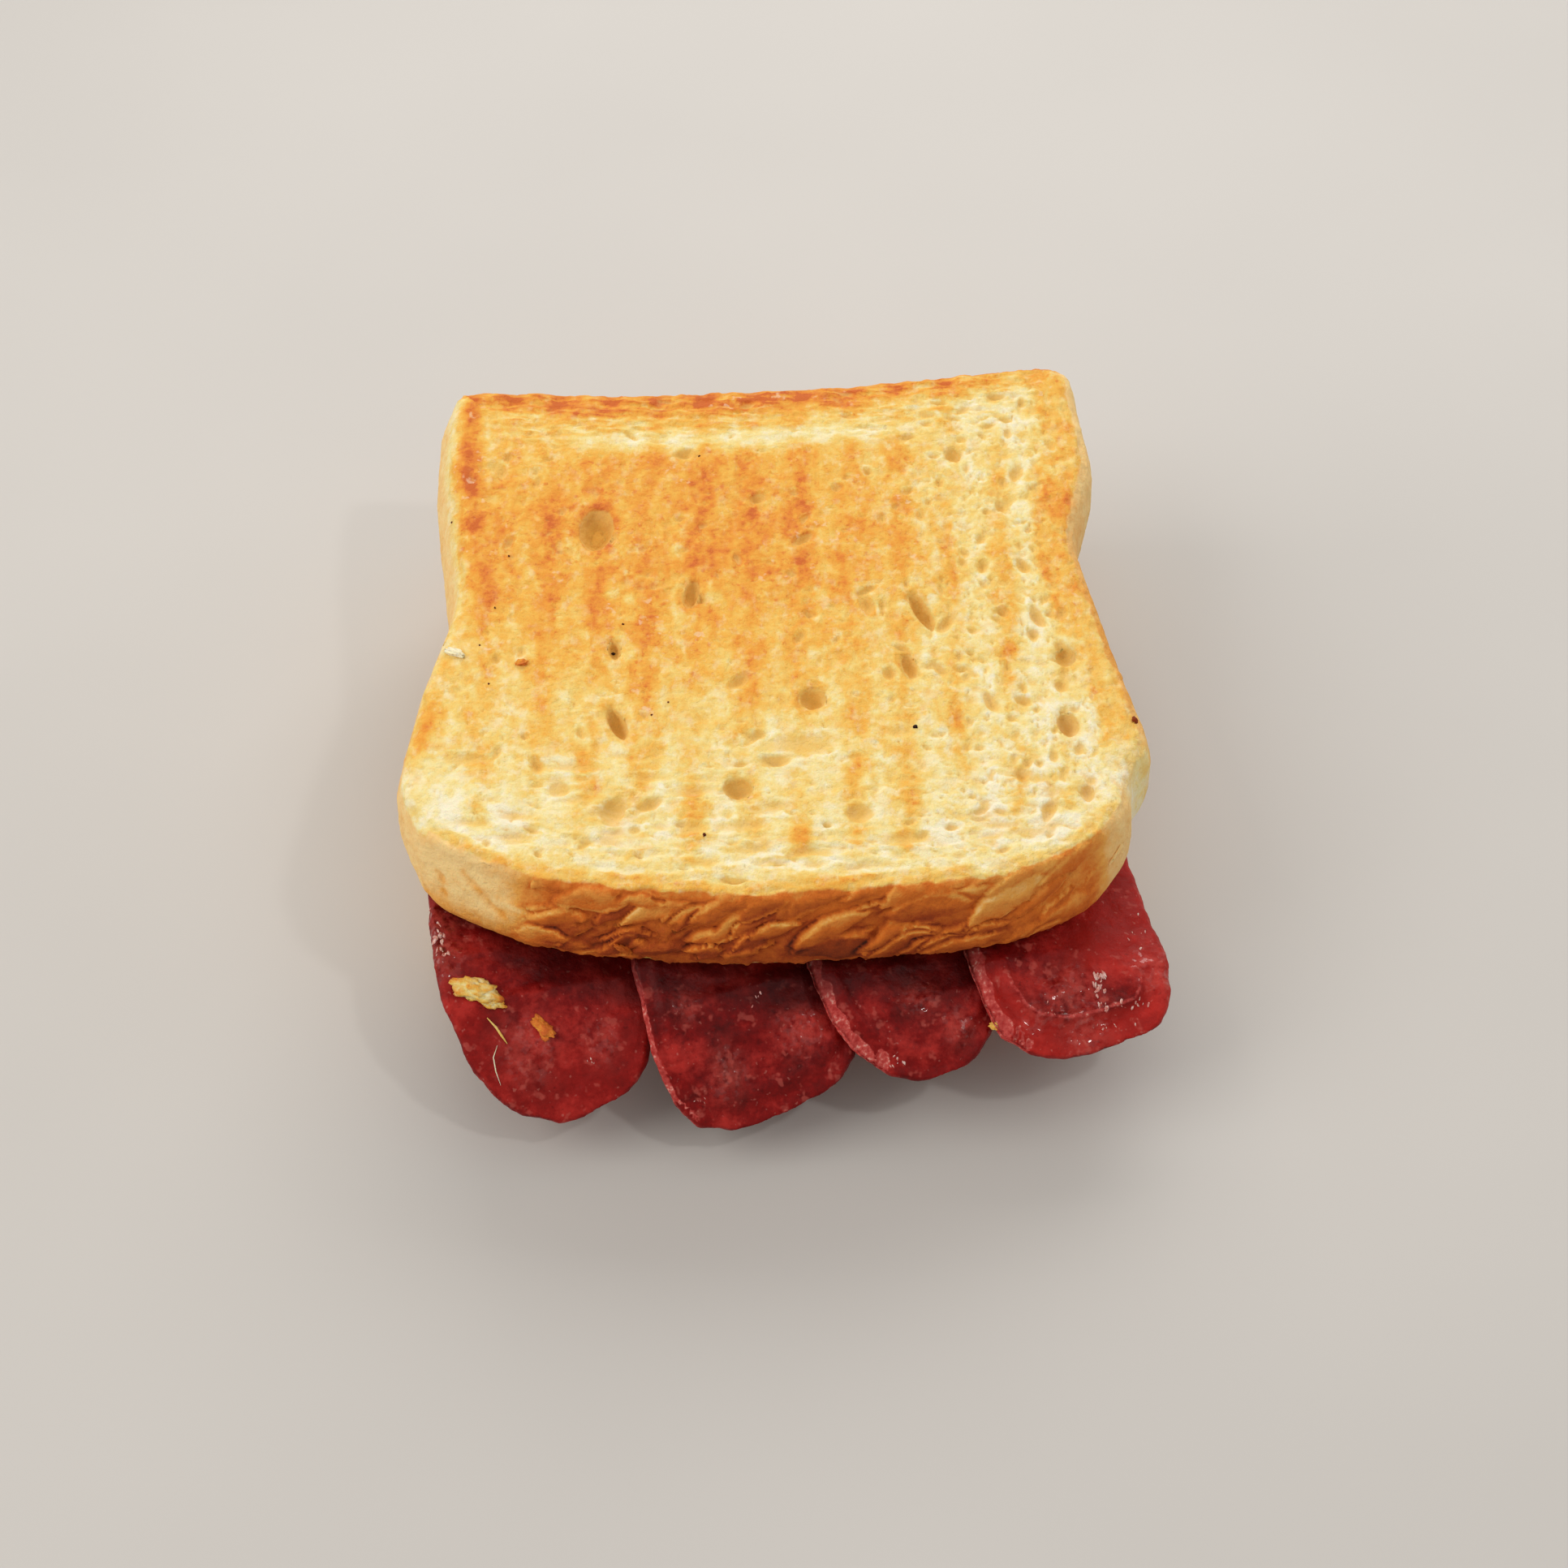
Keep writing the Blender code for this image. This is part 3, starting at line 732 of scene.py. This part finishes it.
# small pores, most of them at the right, that lie along the crust where they are near it
chance = np.random.default_rng(11)
clear = soft_step(4.0 * MM, 7.0 * MM, top.inward[face])
density = (0.2 + 1.5 * open_right + 0.3 * open_front)[face] * clear
for size, count in PORE_SIZES:
    for number in chance.choice(face, count, p=density / density.sum()):
        edge_turn = math.atan2(top.outward[number, 1], top.outward[number, 0])
        loose = chance.normal(0.0, 0.3)
        loose += 1.2 * chance.normal() * min(1.0, top.inward[number] / (45.0 * MM))
        half_width = size * MM * chance.uniform(0.5, 1.1)
        half_length = half_width * chance.uniform(1.2, 2.6)
        turn = edge_turn + loose
        top.bore(x[number], y[number], half_width, half_length, turn, half_width, face, 1.3)

# and flat ones across the front
density = open_front[face] * clear
for number in chance.choice(face, FLAT_PORES, p=density / density.sum()):
    half_width = chance.uniform(0.6, 1.4) * MM
    half_length = half_width * chance.uniform(2.0, 4.5)
    turn = math.pi / 2.0 + chance.normal(0.0, 0.12)
    top.bore(x[number], y[number], half_width, half_length, turn, 0.4 * half_width, face, 1.6)

# how toasted the face is: golden at the back left, striped by the press, with pale and dark rims
golden = 0.4 * top.patch(*GOLDEN_MIDDLE)
pale = 0.14 * open_right + 0.06 * open_front
stripes = top.ribs() * (0.16 + 0.13 * open_right + 0.16 * open_front)
stripes *= np.clip(0.95 + 0.9 * wander(top.place * (1.0, 0.4, 1.0), 6.0 * MM, 21.0), 0.2, 1.5)
stripes *= soft_step(5.0 * MM, 9.0 * MM, top.inward)
wavy = top.inward + 0.7 * MM * wander(top.place, 6.0 * MM, 31.0)
back_rim = top.back * fade(5.6 * MM, 8.6 * MM, wavy)
right_rim = top.right * fade(6.5 * MM, 8.5 * MM, wavy) * soft_step(-38.0 * MM, -26.0 * MM, y)
front_rim = top.front * fade(2.6 * MM, 5.2 * MM, wavy)
left_rim = top.left * bell(top.inward - 5.4 * MM, 2.2 * MM) * soft_step(-12.0 * MM, 5.0 * MM, y)
left_rim *= 0.6 + 0.4 * soft_step(12.0 * MM, 24.0 * MM, y)
left_patch = bell(top.inward - 2.6 * MM, 1.8 * MM) * bell(y + 26.0 * MM, 8.0 * MM) * (x < 0.0)
pale_band = top.back * bell(top.inward - 13.5 * MM, 2.4 * MM) * soft_step(-40.0 * MM, -26.0 * MM, x)
pale_band *= fade(16.0 * MM, 26.0 * MM, x)
spots = top.ribs() * top.back * bell(top.inward - 3.6 * MM, 2.0 * MM)
top.toast += 0.33 + golden - pale + stripes - 0.42 * pale_band
top.toast -= 0.3 * top.patch(*TORN_LEFT) + 0.18 * torn_right
top.toast += 0.31 * back_rim + 0.36 * right_rim + 0.41 * left_rim + 0.3 * front_rim
top.toast += 0.26 * spots + 0.4 * left_patch
top.toast += 0.14 * top.patch(*RIGHT_PATCH) + 0.45 * top.patch(*RIGHT_LIP)
left_brink = top.left * fade(1.5 * MM, 4.0 * MM, wavy) * soft_step(-12.0 * MM, 5.0 * MM, y)
top.toast -= 0.2 * left_brink
top.lift -= 0.5 * MM * spots

# how browned the crust is, most of all on the dome, darker lower down, plus painted shadow and
# highlight on its flakes
top.scorch = 0.02 + 0.03 * top.left + 0.34 * top.browned + 0.22 * top.back
top.scorch += 0.22 * top.right * bell(y + 5.0 * MM, 24.0 * MM)
top.scorch += 0.3 * top.front * (1.0 - top.browned) * fade(0.0, 0.5, top.rise)
top.scorch += 0.3 * spots + 0.42 * left_patch + top.browned * 0.26 * bell(top.rise - 0.25, 0.45)
top.scorch += 0.05 * top.browned * bell(top.rise - 0.86, 0.09)
top.scorch += 0.32 * top.crease_shadow - 0.22 * top.ridge + 0.17 * top.tone
top.finish(bread_material, TOP_BREAD_FACES)

# ---- slices of cured sausage -------------------------------------------------------------
# Four long, thin cuts of dry cured sausage, each laid on its neighbour's edge: dark red meat
# with fatty specks, moist and shiny on top, with a torn pink edge where the knife went. Painted
# shadow darkens them under the crust, and painted sheen and highlights lighten them in places.
SAUSAGE_GRAIN = 0.4 * MM
SAUSAGE_FACES = 80000
SAUSAGE_SLICES = (
    # number, how far inside the nose the casing's ridge runs and how high it is, how wide the cut
    # side is, all in mm, how bright the rim beyond the ridge is and how strong the painted highlight on
    # the ridge's crest is
    (1, 8.0, 0.15, 0.0, 0.4, 0.0),
    (2, 3.2, 0.4, 0.6, 0.1, 0.0),
    (3, 3.0, 0.4, 1.9, 0.1, 0.0),
    (4, 4.8, 0.65, 2.1, 0.9, 0.585),
)
WET_AND_SHEEN_PLACES = (
    # where each slice is moist and glossy with a painted sheen, on each slice in turn: x, y and radius
    # in mm
    ((-52.5, -52.0, 4.0), (-51.5, -58.0, 4.0), (-38.0, -69.5, 4.0), (-27.0, -68.0, 2.5)),
    ((-8.0, -72.0, 3.0), (3.0, -66.0, 3.5), (-14.0, -64.5, 2.0)),
    ((21.0, -62.0, 3.0), (27.0, -66.0, 2.5)),
    ((44.0, -62.5, 5.0), (46.5, -67.0, 4.0), (57.0, -57.0, 3.5), (38.5, -66.0, 2.0)),
)
CUT_DROP = 1.3 * MM  # how far the cut side slopes down
LEAN_COLOURS = [(0.3, shade(88, 8, 10)), (0.5, shade(127, 17, 17)), (0.7, shade(176, 46, 41))]
CUT_COLOURS = [(0.3, shade(172, 50, 48)), (0.6, shade(202, 84, 78)), (0.85, shade(236, 176, 162))]
# brighter red of the rim beyond the casing's ridge, also used as painted light on the fourth slice's
# right side
RIM_AND_LIT_SIDE_RED = shade(202, 46, 38)
FATTY_PATCH = shade(196, 90, 80)
FAT_DOT = shade(222, 146, 132)
DARK_DOT = shade(64, 8, 10)
# painted sheen on the moist places
PAINTED_SHEEN_MEAT = shade(212, 92, 82)
# painted shadow under the crust
CRUST_SHADOW_MEAT = shade(50, 8, 10)


def sausage_finish():
    """Dark red meat, clouded and flecked with fatty specks, moist in places with a painted sheen, pink
    where it is cut, and with painted shadow under the crust.
    """
    meat = Finish(
        "cured_sausage",
        Specular_IOR_Level=0.15,
        Coat_Roughness=0.1,
        Coat_IOR=1.38,
        Subsurface_Weight=0.2,
        Subsurface_Radius=(1.0, 0.25, 0.18),
        Subsurface_Scale=1.5 * MM,
    )
    place = meat.place()
    clouds = meat.mottle(place, 7.0 * MM, 3.0, 0.55)
    grainy = meat.mottle(place, 1.5 * MM, 3.0, 0.6)
    flecks = meat.mottle(place, 0.6 * MM, 2.0)
    lean = meat.ramp(clouds + 0.35 * (grainy - 0.5) + 0.2 * (flecks - 0.5), LEAN_COLOURS)
    # the rim beyond the casing's ridge is brighter red, and the right side of the fourth slice gets
    # painted light
    lean = meat.mix(0.5 * meat.attribute("ring"), lean, RIM_AND_LIT_SIDE_RED)
    specks = meat.mottle(place, 2.3 * MM, 2.0, 0.6)
    dots = meat.mottle(place, 0.8 * MM, 1.0)
    fat_dots = dots.between(0.7, 0.76)
    lean = meat.mix(0.45 * specks.between(0.6, 0.7), lean, FATTY_PATCH)
    lean = meat.mix(0.2 * fat_dots, lean, FAT_DOT)
    lean = meat.mix(0.3 * (1.0 - dots.between(0.24, 0.32)), lean, DARK_DOT)
    torn = meat.ramp(flecks + 0.7 * (grainy - 0.5), CUT_COLOURS)
    cut = (meat.attribute("cut") + 0.3 * (grainy - 0.5)).between(0.35, 0.65)
    wet = meat.attribute("wet")
    # painted sheen: the moist places are painted a lighter pink
    lean = meat.mix(0.34 * wet * grainy.between(0.3, 0.6), lean, PAINTED_SHEEN_MEAT)
    beads = meat.mottle(place, 1.1 * MM, 1.0)
    glossy = wet.between(0.2, 0.5) * beads.between(0.54, 0.6)
    glossy = glossy + 0.6 * fat_dots * clouds.between(0.45, 0.6)
    # painted shadow where the crust hangs over, which also takes the gloss away
    soaked = meat.attribute("soaked")
    return meat.paint(
        Base_Color=meat.mix(0.65 * soaked, meat.mix(cut, lean, torn), CRUST_SHADOW_MEAT),
        Roughness=0.5 + 0.2 * (grainy - 0.5),
        Coat_Weight=glossy * (1.0 - soaked),
        Normal=meat.bump(0.6 * grainy + 0.25 * flecks + wet * beads, 0.3 * MM),
    )


sausage_material = sausage_finish()


def sausage_slice(number, casing, ridge, cut_width, rim, crest_highlight, wet_and_sheen_places):
    """One slice: its relief, its torn side, how moist and bright each point is, and its painted light,
    highlight, sheen and shadow.
    """
    piece = fine_copy(f"sausage_{number}", f"sausage_slice_{number}", SAUSAGE_GRAIN, 2)
    place = read(piece.data.vertices, "co")
    facing = read(piece.data.vertex_normals, "vector")
    rim_points = np.nonzero(np.abs(facing[:, 2]) < 0.35)[0]
    inward, outward = from_rim(rim_of(place, rim_points), place, facing)
    on_top = soft_step(0.2, 0.5, facing[:, 2])
    left_edge = soft_step(0.2, 0.7, -outward[:, 0])
    free_end = fade(-62.0 * MM, -56.0 * MM, place[:, 1])
    lift = 0.12 * MM * wander(place, 1.5 * MM, number, 3) + 0.35 * MM * wander(place, 6.0 * MM, number)
    crest = bell(inward - casing * MM, 0.8 * MM)
    groove = bell(inward - (casing - 1.8) * MM, 0.9 * MM)
    lift += ridge * MM * free_end * (crest - 0.8 * groove) * on_top
    ring = rim * free_end * fade(casing - 1.2, casing + 0.2, inward / MM) * on_top
    # painted light at the right, where only the fourth slice lies, beside the crust
    painted_light_right = soft_step(38.0 * MM, 48.0 * MM, place[:, 0]) * (1.0 - free_end) * on_top
    ring = np.maximum(ring, 0.9 * painted_light_right)
    uneven = wander(place, 3.0 * MM, number + 4.0)
    width = cut_width * MM * (1.0 + 0.5 * uneven)
    slope = np.clip(1.0 - inward / np.maximum(width, 0.1 * MM), 0.0, 1.0) * left_edge
    cut = np.clip(slope * 3.0, 0.0, 1.0) * (0.5 + on_top)
    side = fade(0.3, 0.7, np.abs(facing[:, 2]))
    cut = np.clip(np.maximum(cut, side * left_edge), 0.0, 1.0)
    cut *= min(1.0, cut_width)
    # a painted highlight along the crest of the casing's ridge, in the colour of the torn side
    crest_highlight_line = free_end * on_top * bell(inward - casing * MM, 0.5 * MM)
    cut = np.maximum(cut, crest_highlight * crest_highlight_line)
    lift += 0.15 * MM * cut * wander(place, 0.9 * MM, number + 9.0)
    wet = np.zeros(len(place))
    for x, y, radius in wet_and_sheen_places:
        wet = np.maximum(wet, bell(np.hypot(place[:, 0] - x * MM, place[:, 1] - y * MM), radius * MM))
    lift += 0.35 * MM * wet * wander(place, 1.4 * MM, number + 12.0) * on_top
    places = place + facing * lift[:, None]
    places[:, 2] -= CUT_DROP * slope * on_top * min(1.0, cut_width / 2.0)
    reshape(piece, places)
    # painted shadow where the crust hangs over the slices
    clear_of_bread, _ = from_rim(top.rim, place, top.facing)
    soaked = fade(0.6 * MM, 4.5 * MM, clear_of_bread)
    soaked *= soft_step(-50.0 * MM, -40.0 * MM, place[:, 0])
    soaked *= fade(26.0 * MM, 38.0 * MM, place[:, 0])
    mark(piece, cut=cut, wet=wet, ring=ring, soaked=soaked)
    thin_out(piece, SAUSAGE_FACES)
    dress(piece, sausage_material, f"sausage_{number}")
    return piece


slices = [sausage_slice(*shape, wet) for shape, wet in zip(SAUSAGE_SLICES, WET_AND_SHEEN_PLACES)]

# ---- crumbs, specks and threads ----------------------------------------------------------
# What came loose: flakes, crumbs and curls of bread on the sausage and along the toast's edges,
# charred specks on the toast, and fine threads of dough. All lie on what is under them.
HALF_PICTURE = 966.0  # the places given as u, v are points of a picture twice as wide as this
CHIPS = (
    # u, v, length, width and thickness in mm, turn in degrees, toast and how uneven it is, how
    # browned it is as crust (0 for crumb), seed
    (584.0, 1220.0, 6.4, 3.4, 1.5, -10.0, 0.4, 0.9, 0.0, 1.0),
    (604.0, 1234.0, 4.2, 1.8, 1.0, -14.0, 0.6, 0.8, 0.0, 2.0),
    (670.0, 1268.0, 4.0, 2.2, 0.9, -46.0, 0.93, 0.25, 0.0, 3.0),
    (1225.0, 1264.0, 1.6, 1.0, 0.5, 0.0, 0.6, 0.2, 0.0, 4.0),
    (560.0, 805.0, 3.6, 1.3, 0.7, -34.0, 0.0, 0.2, 0.0, 5.0),
    (643.0, 817.0, 2.0, 1.3, 0.8, 0.0, 0.86, 0.2, 0.0, 7.0),
    (768.0, 1168.0, 3.4, 1.0, 0.9, -48.0, 0.0, 0.0, 0.5, 9.0),
    (1376.0, 1049.0, 4.2, 0.5, 0.5, 24.0, 0.0, 0.0, 0.05, 13.0),
)
AROUND = ((0.0, 0.0), (-10.0, 0.0), (10.0, 0.0), (0.0, -10.0), (0.0, 10.0))  # steps in u and v
SPECK_DROP = 60.0 * MM  # specks are looked for straight down from this height
THREAD_SIDES = 6
SPECKS = (
    # x, y and size in mm, how charred
    (21.0, -25.8, 0.85, 1.1),
    (-26.4, -8.7, 0.6, 1.0),
    (-11.2, -47.3, 0.6, 0.9),
    (-45.5, -0.4, 0.4, 0.9),
    (-44.0, 11.4, 0.4, 0.9),
    (-54.1, 21.0, 0.4, 0.9),
    (-13.5, 35.0, 0.45, 0.95),
    (-45.4, -16.7, 0.4, 0.9),
    (-47.4, -8.5, 0.35, 0.9),
    (-24.9, -4.0, 0.4, 0.9),
    (-19.8, -23.3, 0.35, 0.85),
    (-17.3, -20.6, 0.35, 0.85),
    (54.9, -24.0, 1.3, 0.72),
)
THREADS = (
    # places along the thread as u, v, then its thickness in mm and how toasted it is
    (((600.0, 1254.0), (611.0, 1266.0), (618.0, 1276.0), (625.0, 1286.0)), 0.42, 0.45),
    (((613.0, 1288.0), (608.0, 1303.0), (611.0, 1320.0), (617.0, 1337.0)), 0.2, 0.0),
)

seen_now = bpy.context.evaluated_depsgraph_get()
carriers = [BVHTree.FromObject(piece, seen_now) for piece in [top.piece] + slices]


def first_met(start, ray):
    """The first point that a line meets, and which way the surface faces there."""
    met = [tree.ray_cast(start, ray) for tree in carriers]
    return min((hit for hit in met if hit[0]), key=lambda hit: hit[3], default=(None, None))[:2]


def seen_at(u, v):
    """What the camera sees at a point of the picture: the place, and which way it faces."""
    wide = math.tan(CAMERA_FIELD / 2.0)
    ray = Vector(((u / HALF_PICTURE - 1.0) * wide, (1.0 - v / HALF_PICTURE) * wide, -1.0))
    ray.rotate(camera.rotation_euler)
    return first_met(Vector(CAMERA_PLACE), ray.normalized())


class Bits:
    """Small loose bits that are joined to one mesh."""

    def __init__(self):
        self.places = []
        self.faces = []
        self.toast = []
        self.scorch = []
        self.crust = []

    def add(self, places, faces, toast, scorch, crust):
        """Take up one bit, with the toast of each of its points."""
        first = len(self.places)
        self.places += [tuple(place) for place in places]
        self.faces += [tuple(first + corner for corner in face) for face in faces]
        self.toast += list(toast)
        self.scorch += [scorch] * len(places)
        self.crust += [crust] * len(places)

    def add_lump(
        self, spot, facing, size, turn, detail, seed, toast=0.0, uneven=0.0, scorch=0.0, crust=0.0
    ):
        """An uneven, flattened lump that lies on a spot."""
        ball = bmesh.new()
        bmesh.ops.create_icosphere(ball, subdivisions=detail, radius=0.5)
        level = (Vector((1.0, 0.0, 0.0)) - facing * facing.x).normalized()
        spin = Matrix((level, facing.cross(level), facing)).transposed() @ Matrix.Rotation(turn, 3, "Z")
        places, tones = [], []
        for corner in ball.verts:
            rough = noise.fractal(corner.co * 3.2 + Vector((seed * 7.3, 0.0, 0.0)), 1.0, 2.0, 3)
            fine = noise.fractal(corner.co * 9.0 + Vector((seed * 3.1, 5.0, 0.0)), 1.0, 2.0, 2)
            swollen = corner.co * (1.0 + 0.55 * rough + 0.14 * fine)
            places.append(spot + spin @ Vector([part * reach for part, reach in zip(swollen, size)]))
            tones.append(toast + uneven * (0.6 * rough + 0.4 * fine))
        faces = [[corner.index for corner in face.verts] for face in ball.faces]
        ball.free()
        self.add(places, faces, tones, scorch, crust)

    def add_thread(self, course, thickness, toast):
        """A thin round thread that tapers to both ends."""
        sides = THREAD_SIDES
        places, faces = [], []
        for number, spot in enumerate(course):
            before, after = course[max(number - 1, 0)], course[min(number + 1, len(course) - 1)]
            along = (after - before).normalized()
            spin = along.to_track_quat("Z", "Y")
            part = number / (len(course) - 1)
            radius = 0.5 * thickness * (0.35 + 0.65 * math.sin(math.pi * part))
            for side in range(sides):
                angle = 2.0 * math.pi * side / sides
                corner = Vector((radius * math.cos(angle), radius * math.sin(angle), 0.0))
                places.append(spot + spin @ corner)
                if number:
                    near, far = (number - 1) * sides, number * sides
                    beside = (side + 1) % sides
                    faces.append((near + side, near + beside, far + beside, far + side))
        faces.append(tuple(reversed(range(sides))))
        faces.append(tuple(range(len(places) - sides, len(places))))
        self.add(places, faces, [toast] * len(places), 0.0, 0.0)

    def join(self, name, material):
        """Make one piece of all the bits."""
        mesh = bpy.data.meshes.new(name)
        mesh.from_pydata(self.places, [], self.faces)
        mesh.shade_smooth()
        piece = bpy.data.objects.new(name, mesh)
        bpy.context.collection.objects.link(piece)
        toast, scorch, crust = (np.array(values) for values in (self.toast, self.scorch, self.crust))
        mark(piece, toast=toast, scorch=scorch, crust=crust, hollow=np.zeros(len(toast)))
        dress(piece, material)


bits = Bits()
for u, v, length, width, thickness, turn, toast, uneven, browned, seed in CHIPS:
    around = [seen_at(u + aside, v + below) for aside, below in AROUND]
    spot = around[0][0]
    facing = sum((hit[1] for hit in around if hit[0]), Vector()).normalized()
    size = (length * MM, width * MM, thickness * MM)
    on_top = spot + facing * 0.3 * size[2]
    looks = {"toast": toast, "uneven": uneven, "scorch": browned, "crust": 1.0 if browned else 0.0}
    bits.add_lump(on_top, facing, size, math.radians(turn), 4, seed, **looks)
bits.join("loose_flakes", bread_material)

bits = Bits()
for number, (px, py, size, charred) in enumerate(SPECKS):
    spot, facing = first_met(Vector((px * MM, py * MM, SPECK_DROP)), Vector((0.0, 0.0, -1.0)))
    reach = (size * MM, 0.8 * size * MM, 0.7 * size * MM)
    on_top = spot + facing * 0.1 * size * MM
    bits.add_lump(on_top, facing, reach, 0.7 * number, 2, number, scorch=charred, crust=1.0)
bits.join("charred_specks", bread_material)

bits = Bits()
for course, thickness, toast in THREADS:
    met = [seen_at(u, v) for u, v in course]
    places = [spot + facing * 0.4 * thickness * MM for spot, facing in met]
    bits.add_thread(places, thickness * MM, toast)
bits.join("fine_threads", bread_material)

# ---- painted glints ----------------------------------------------------------------------
# Small, pale, shiny beads that stand in for glints: a painted highlight on the sausage, most of
# them at the free end of the fourth slice and along the left edge of the first.
GLINT_BEAD_CLUSTERS = (
    # u and v of the middle, spread across and down in the picture, how many, length in mm
    (1356.0, 1214.0, 8.0, 15.0, 18, 1.4),
    (1364.0, 1238.0, 16.0, 6.0, 8, 1.0),
    (1404.0, 1236.0, 10.0, 5.0, 6, 0.8),
    (1360.0, 1264.0, 24.0, 3.0, 7, 0.6),
    (1396.0, 1150.0, 9.0, 18.0, 7, 0.6),
    (1300.0, 1240.0, 12.0, 12.0, 4, 0.6),
    (543.0, 1158.0, 8.0, 26.0, 20, 1.2),
    (529.0, 1118.0, 3.0, 12.0, 6, 0.9),
    (728.0, 1308.0, 8.0, 4.0, 5, 0.5),
    (940.0, 1225.0, 14.0, 14.0, 4, 0.5),
    (862.0, 1358.0, 8.0, 5.0, 5, 0.5),
    (1100.0, 1306.0, 12.0, 7.0, 7, 0.7),
)
CROWDING = 0.6  # how close to the middle the beads lie, as a part of the spread
GLINT_BEAD_COLOURS = [(0.35, shade(208, 108, 98)), (0.65, shade(249, 204, 194))]

# the beads' finish: a pale pink, as a painted highlight
glint_finish = Finish(
    "painted_glints",
    Roughness=0.2,
    Specular_IOR_Level=0.6,
    Subsurface_Weight=0.2,
    Subsurface_Scale=1.0 * MM,
)
milky = glint_finish.mottle(glint_finish.place(), 0.7 * MM, 2.0)
glint_finish.paint(Base_Color=glint_finish.ramp(milky, GLINT_BEAD_COLOURS))

chance = np.random.default_rng(5)
bits = Bits()
for u, v, aside, below, count, length in GLINT_BEAD_CLUSTERS:
    for number in range(count):
        spot, facing = seen_at(chance.normal(u, CROWDING * aside), chance.normal(v, CROWDING * below))
        size = length * chance.uniform(0.4, 1.2) * MM
        turn = chance.uniform(0.9, 2.2)
        if spot is not None and facing.z > 0.3:
            reach = (size, size * chance.uniform(0.3, 0.5), 0.18 * size)
            bits.add_lump(spot, facing, reach, turn, 2, number + u)
bits.join("painted_glint_beads", glint_finish.material)
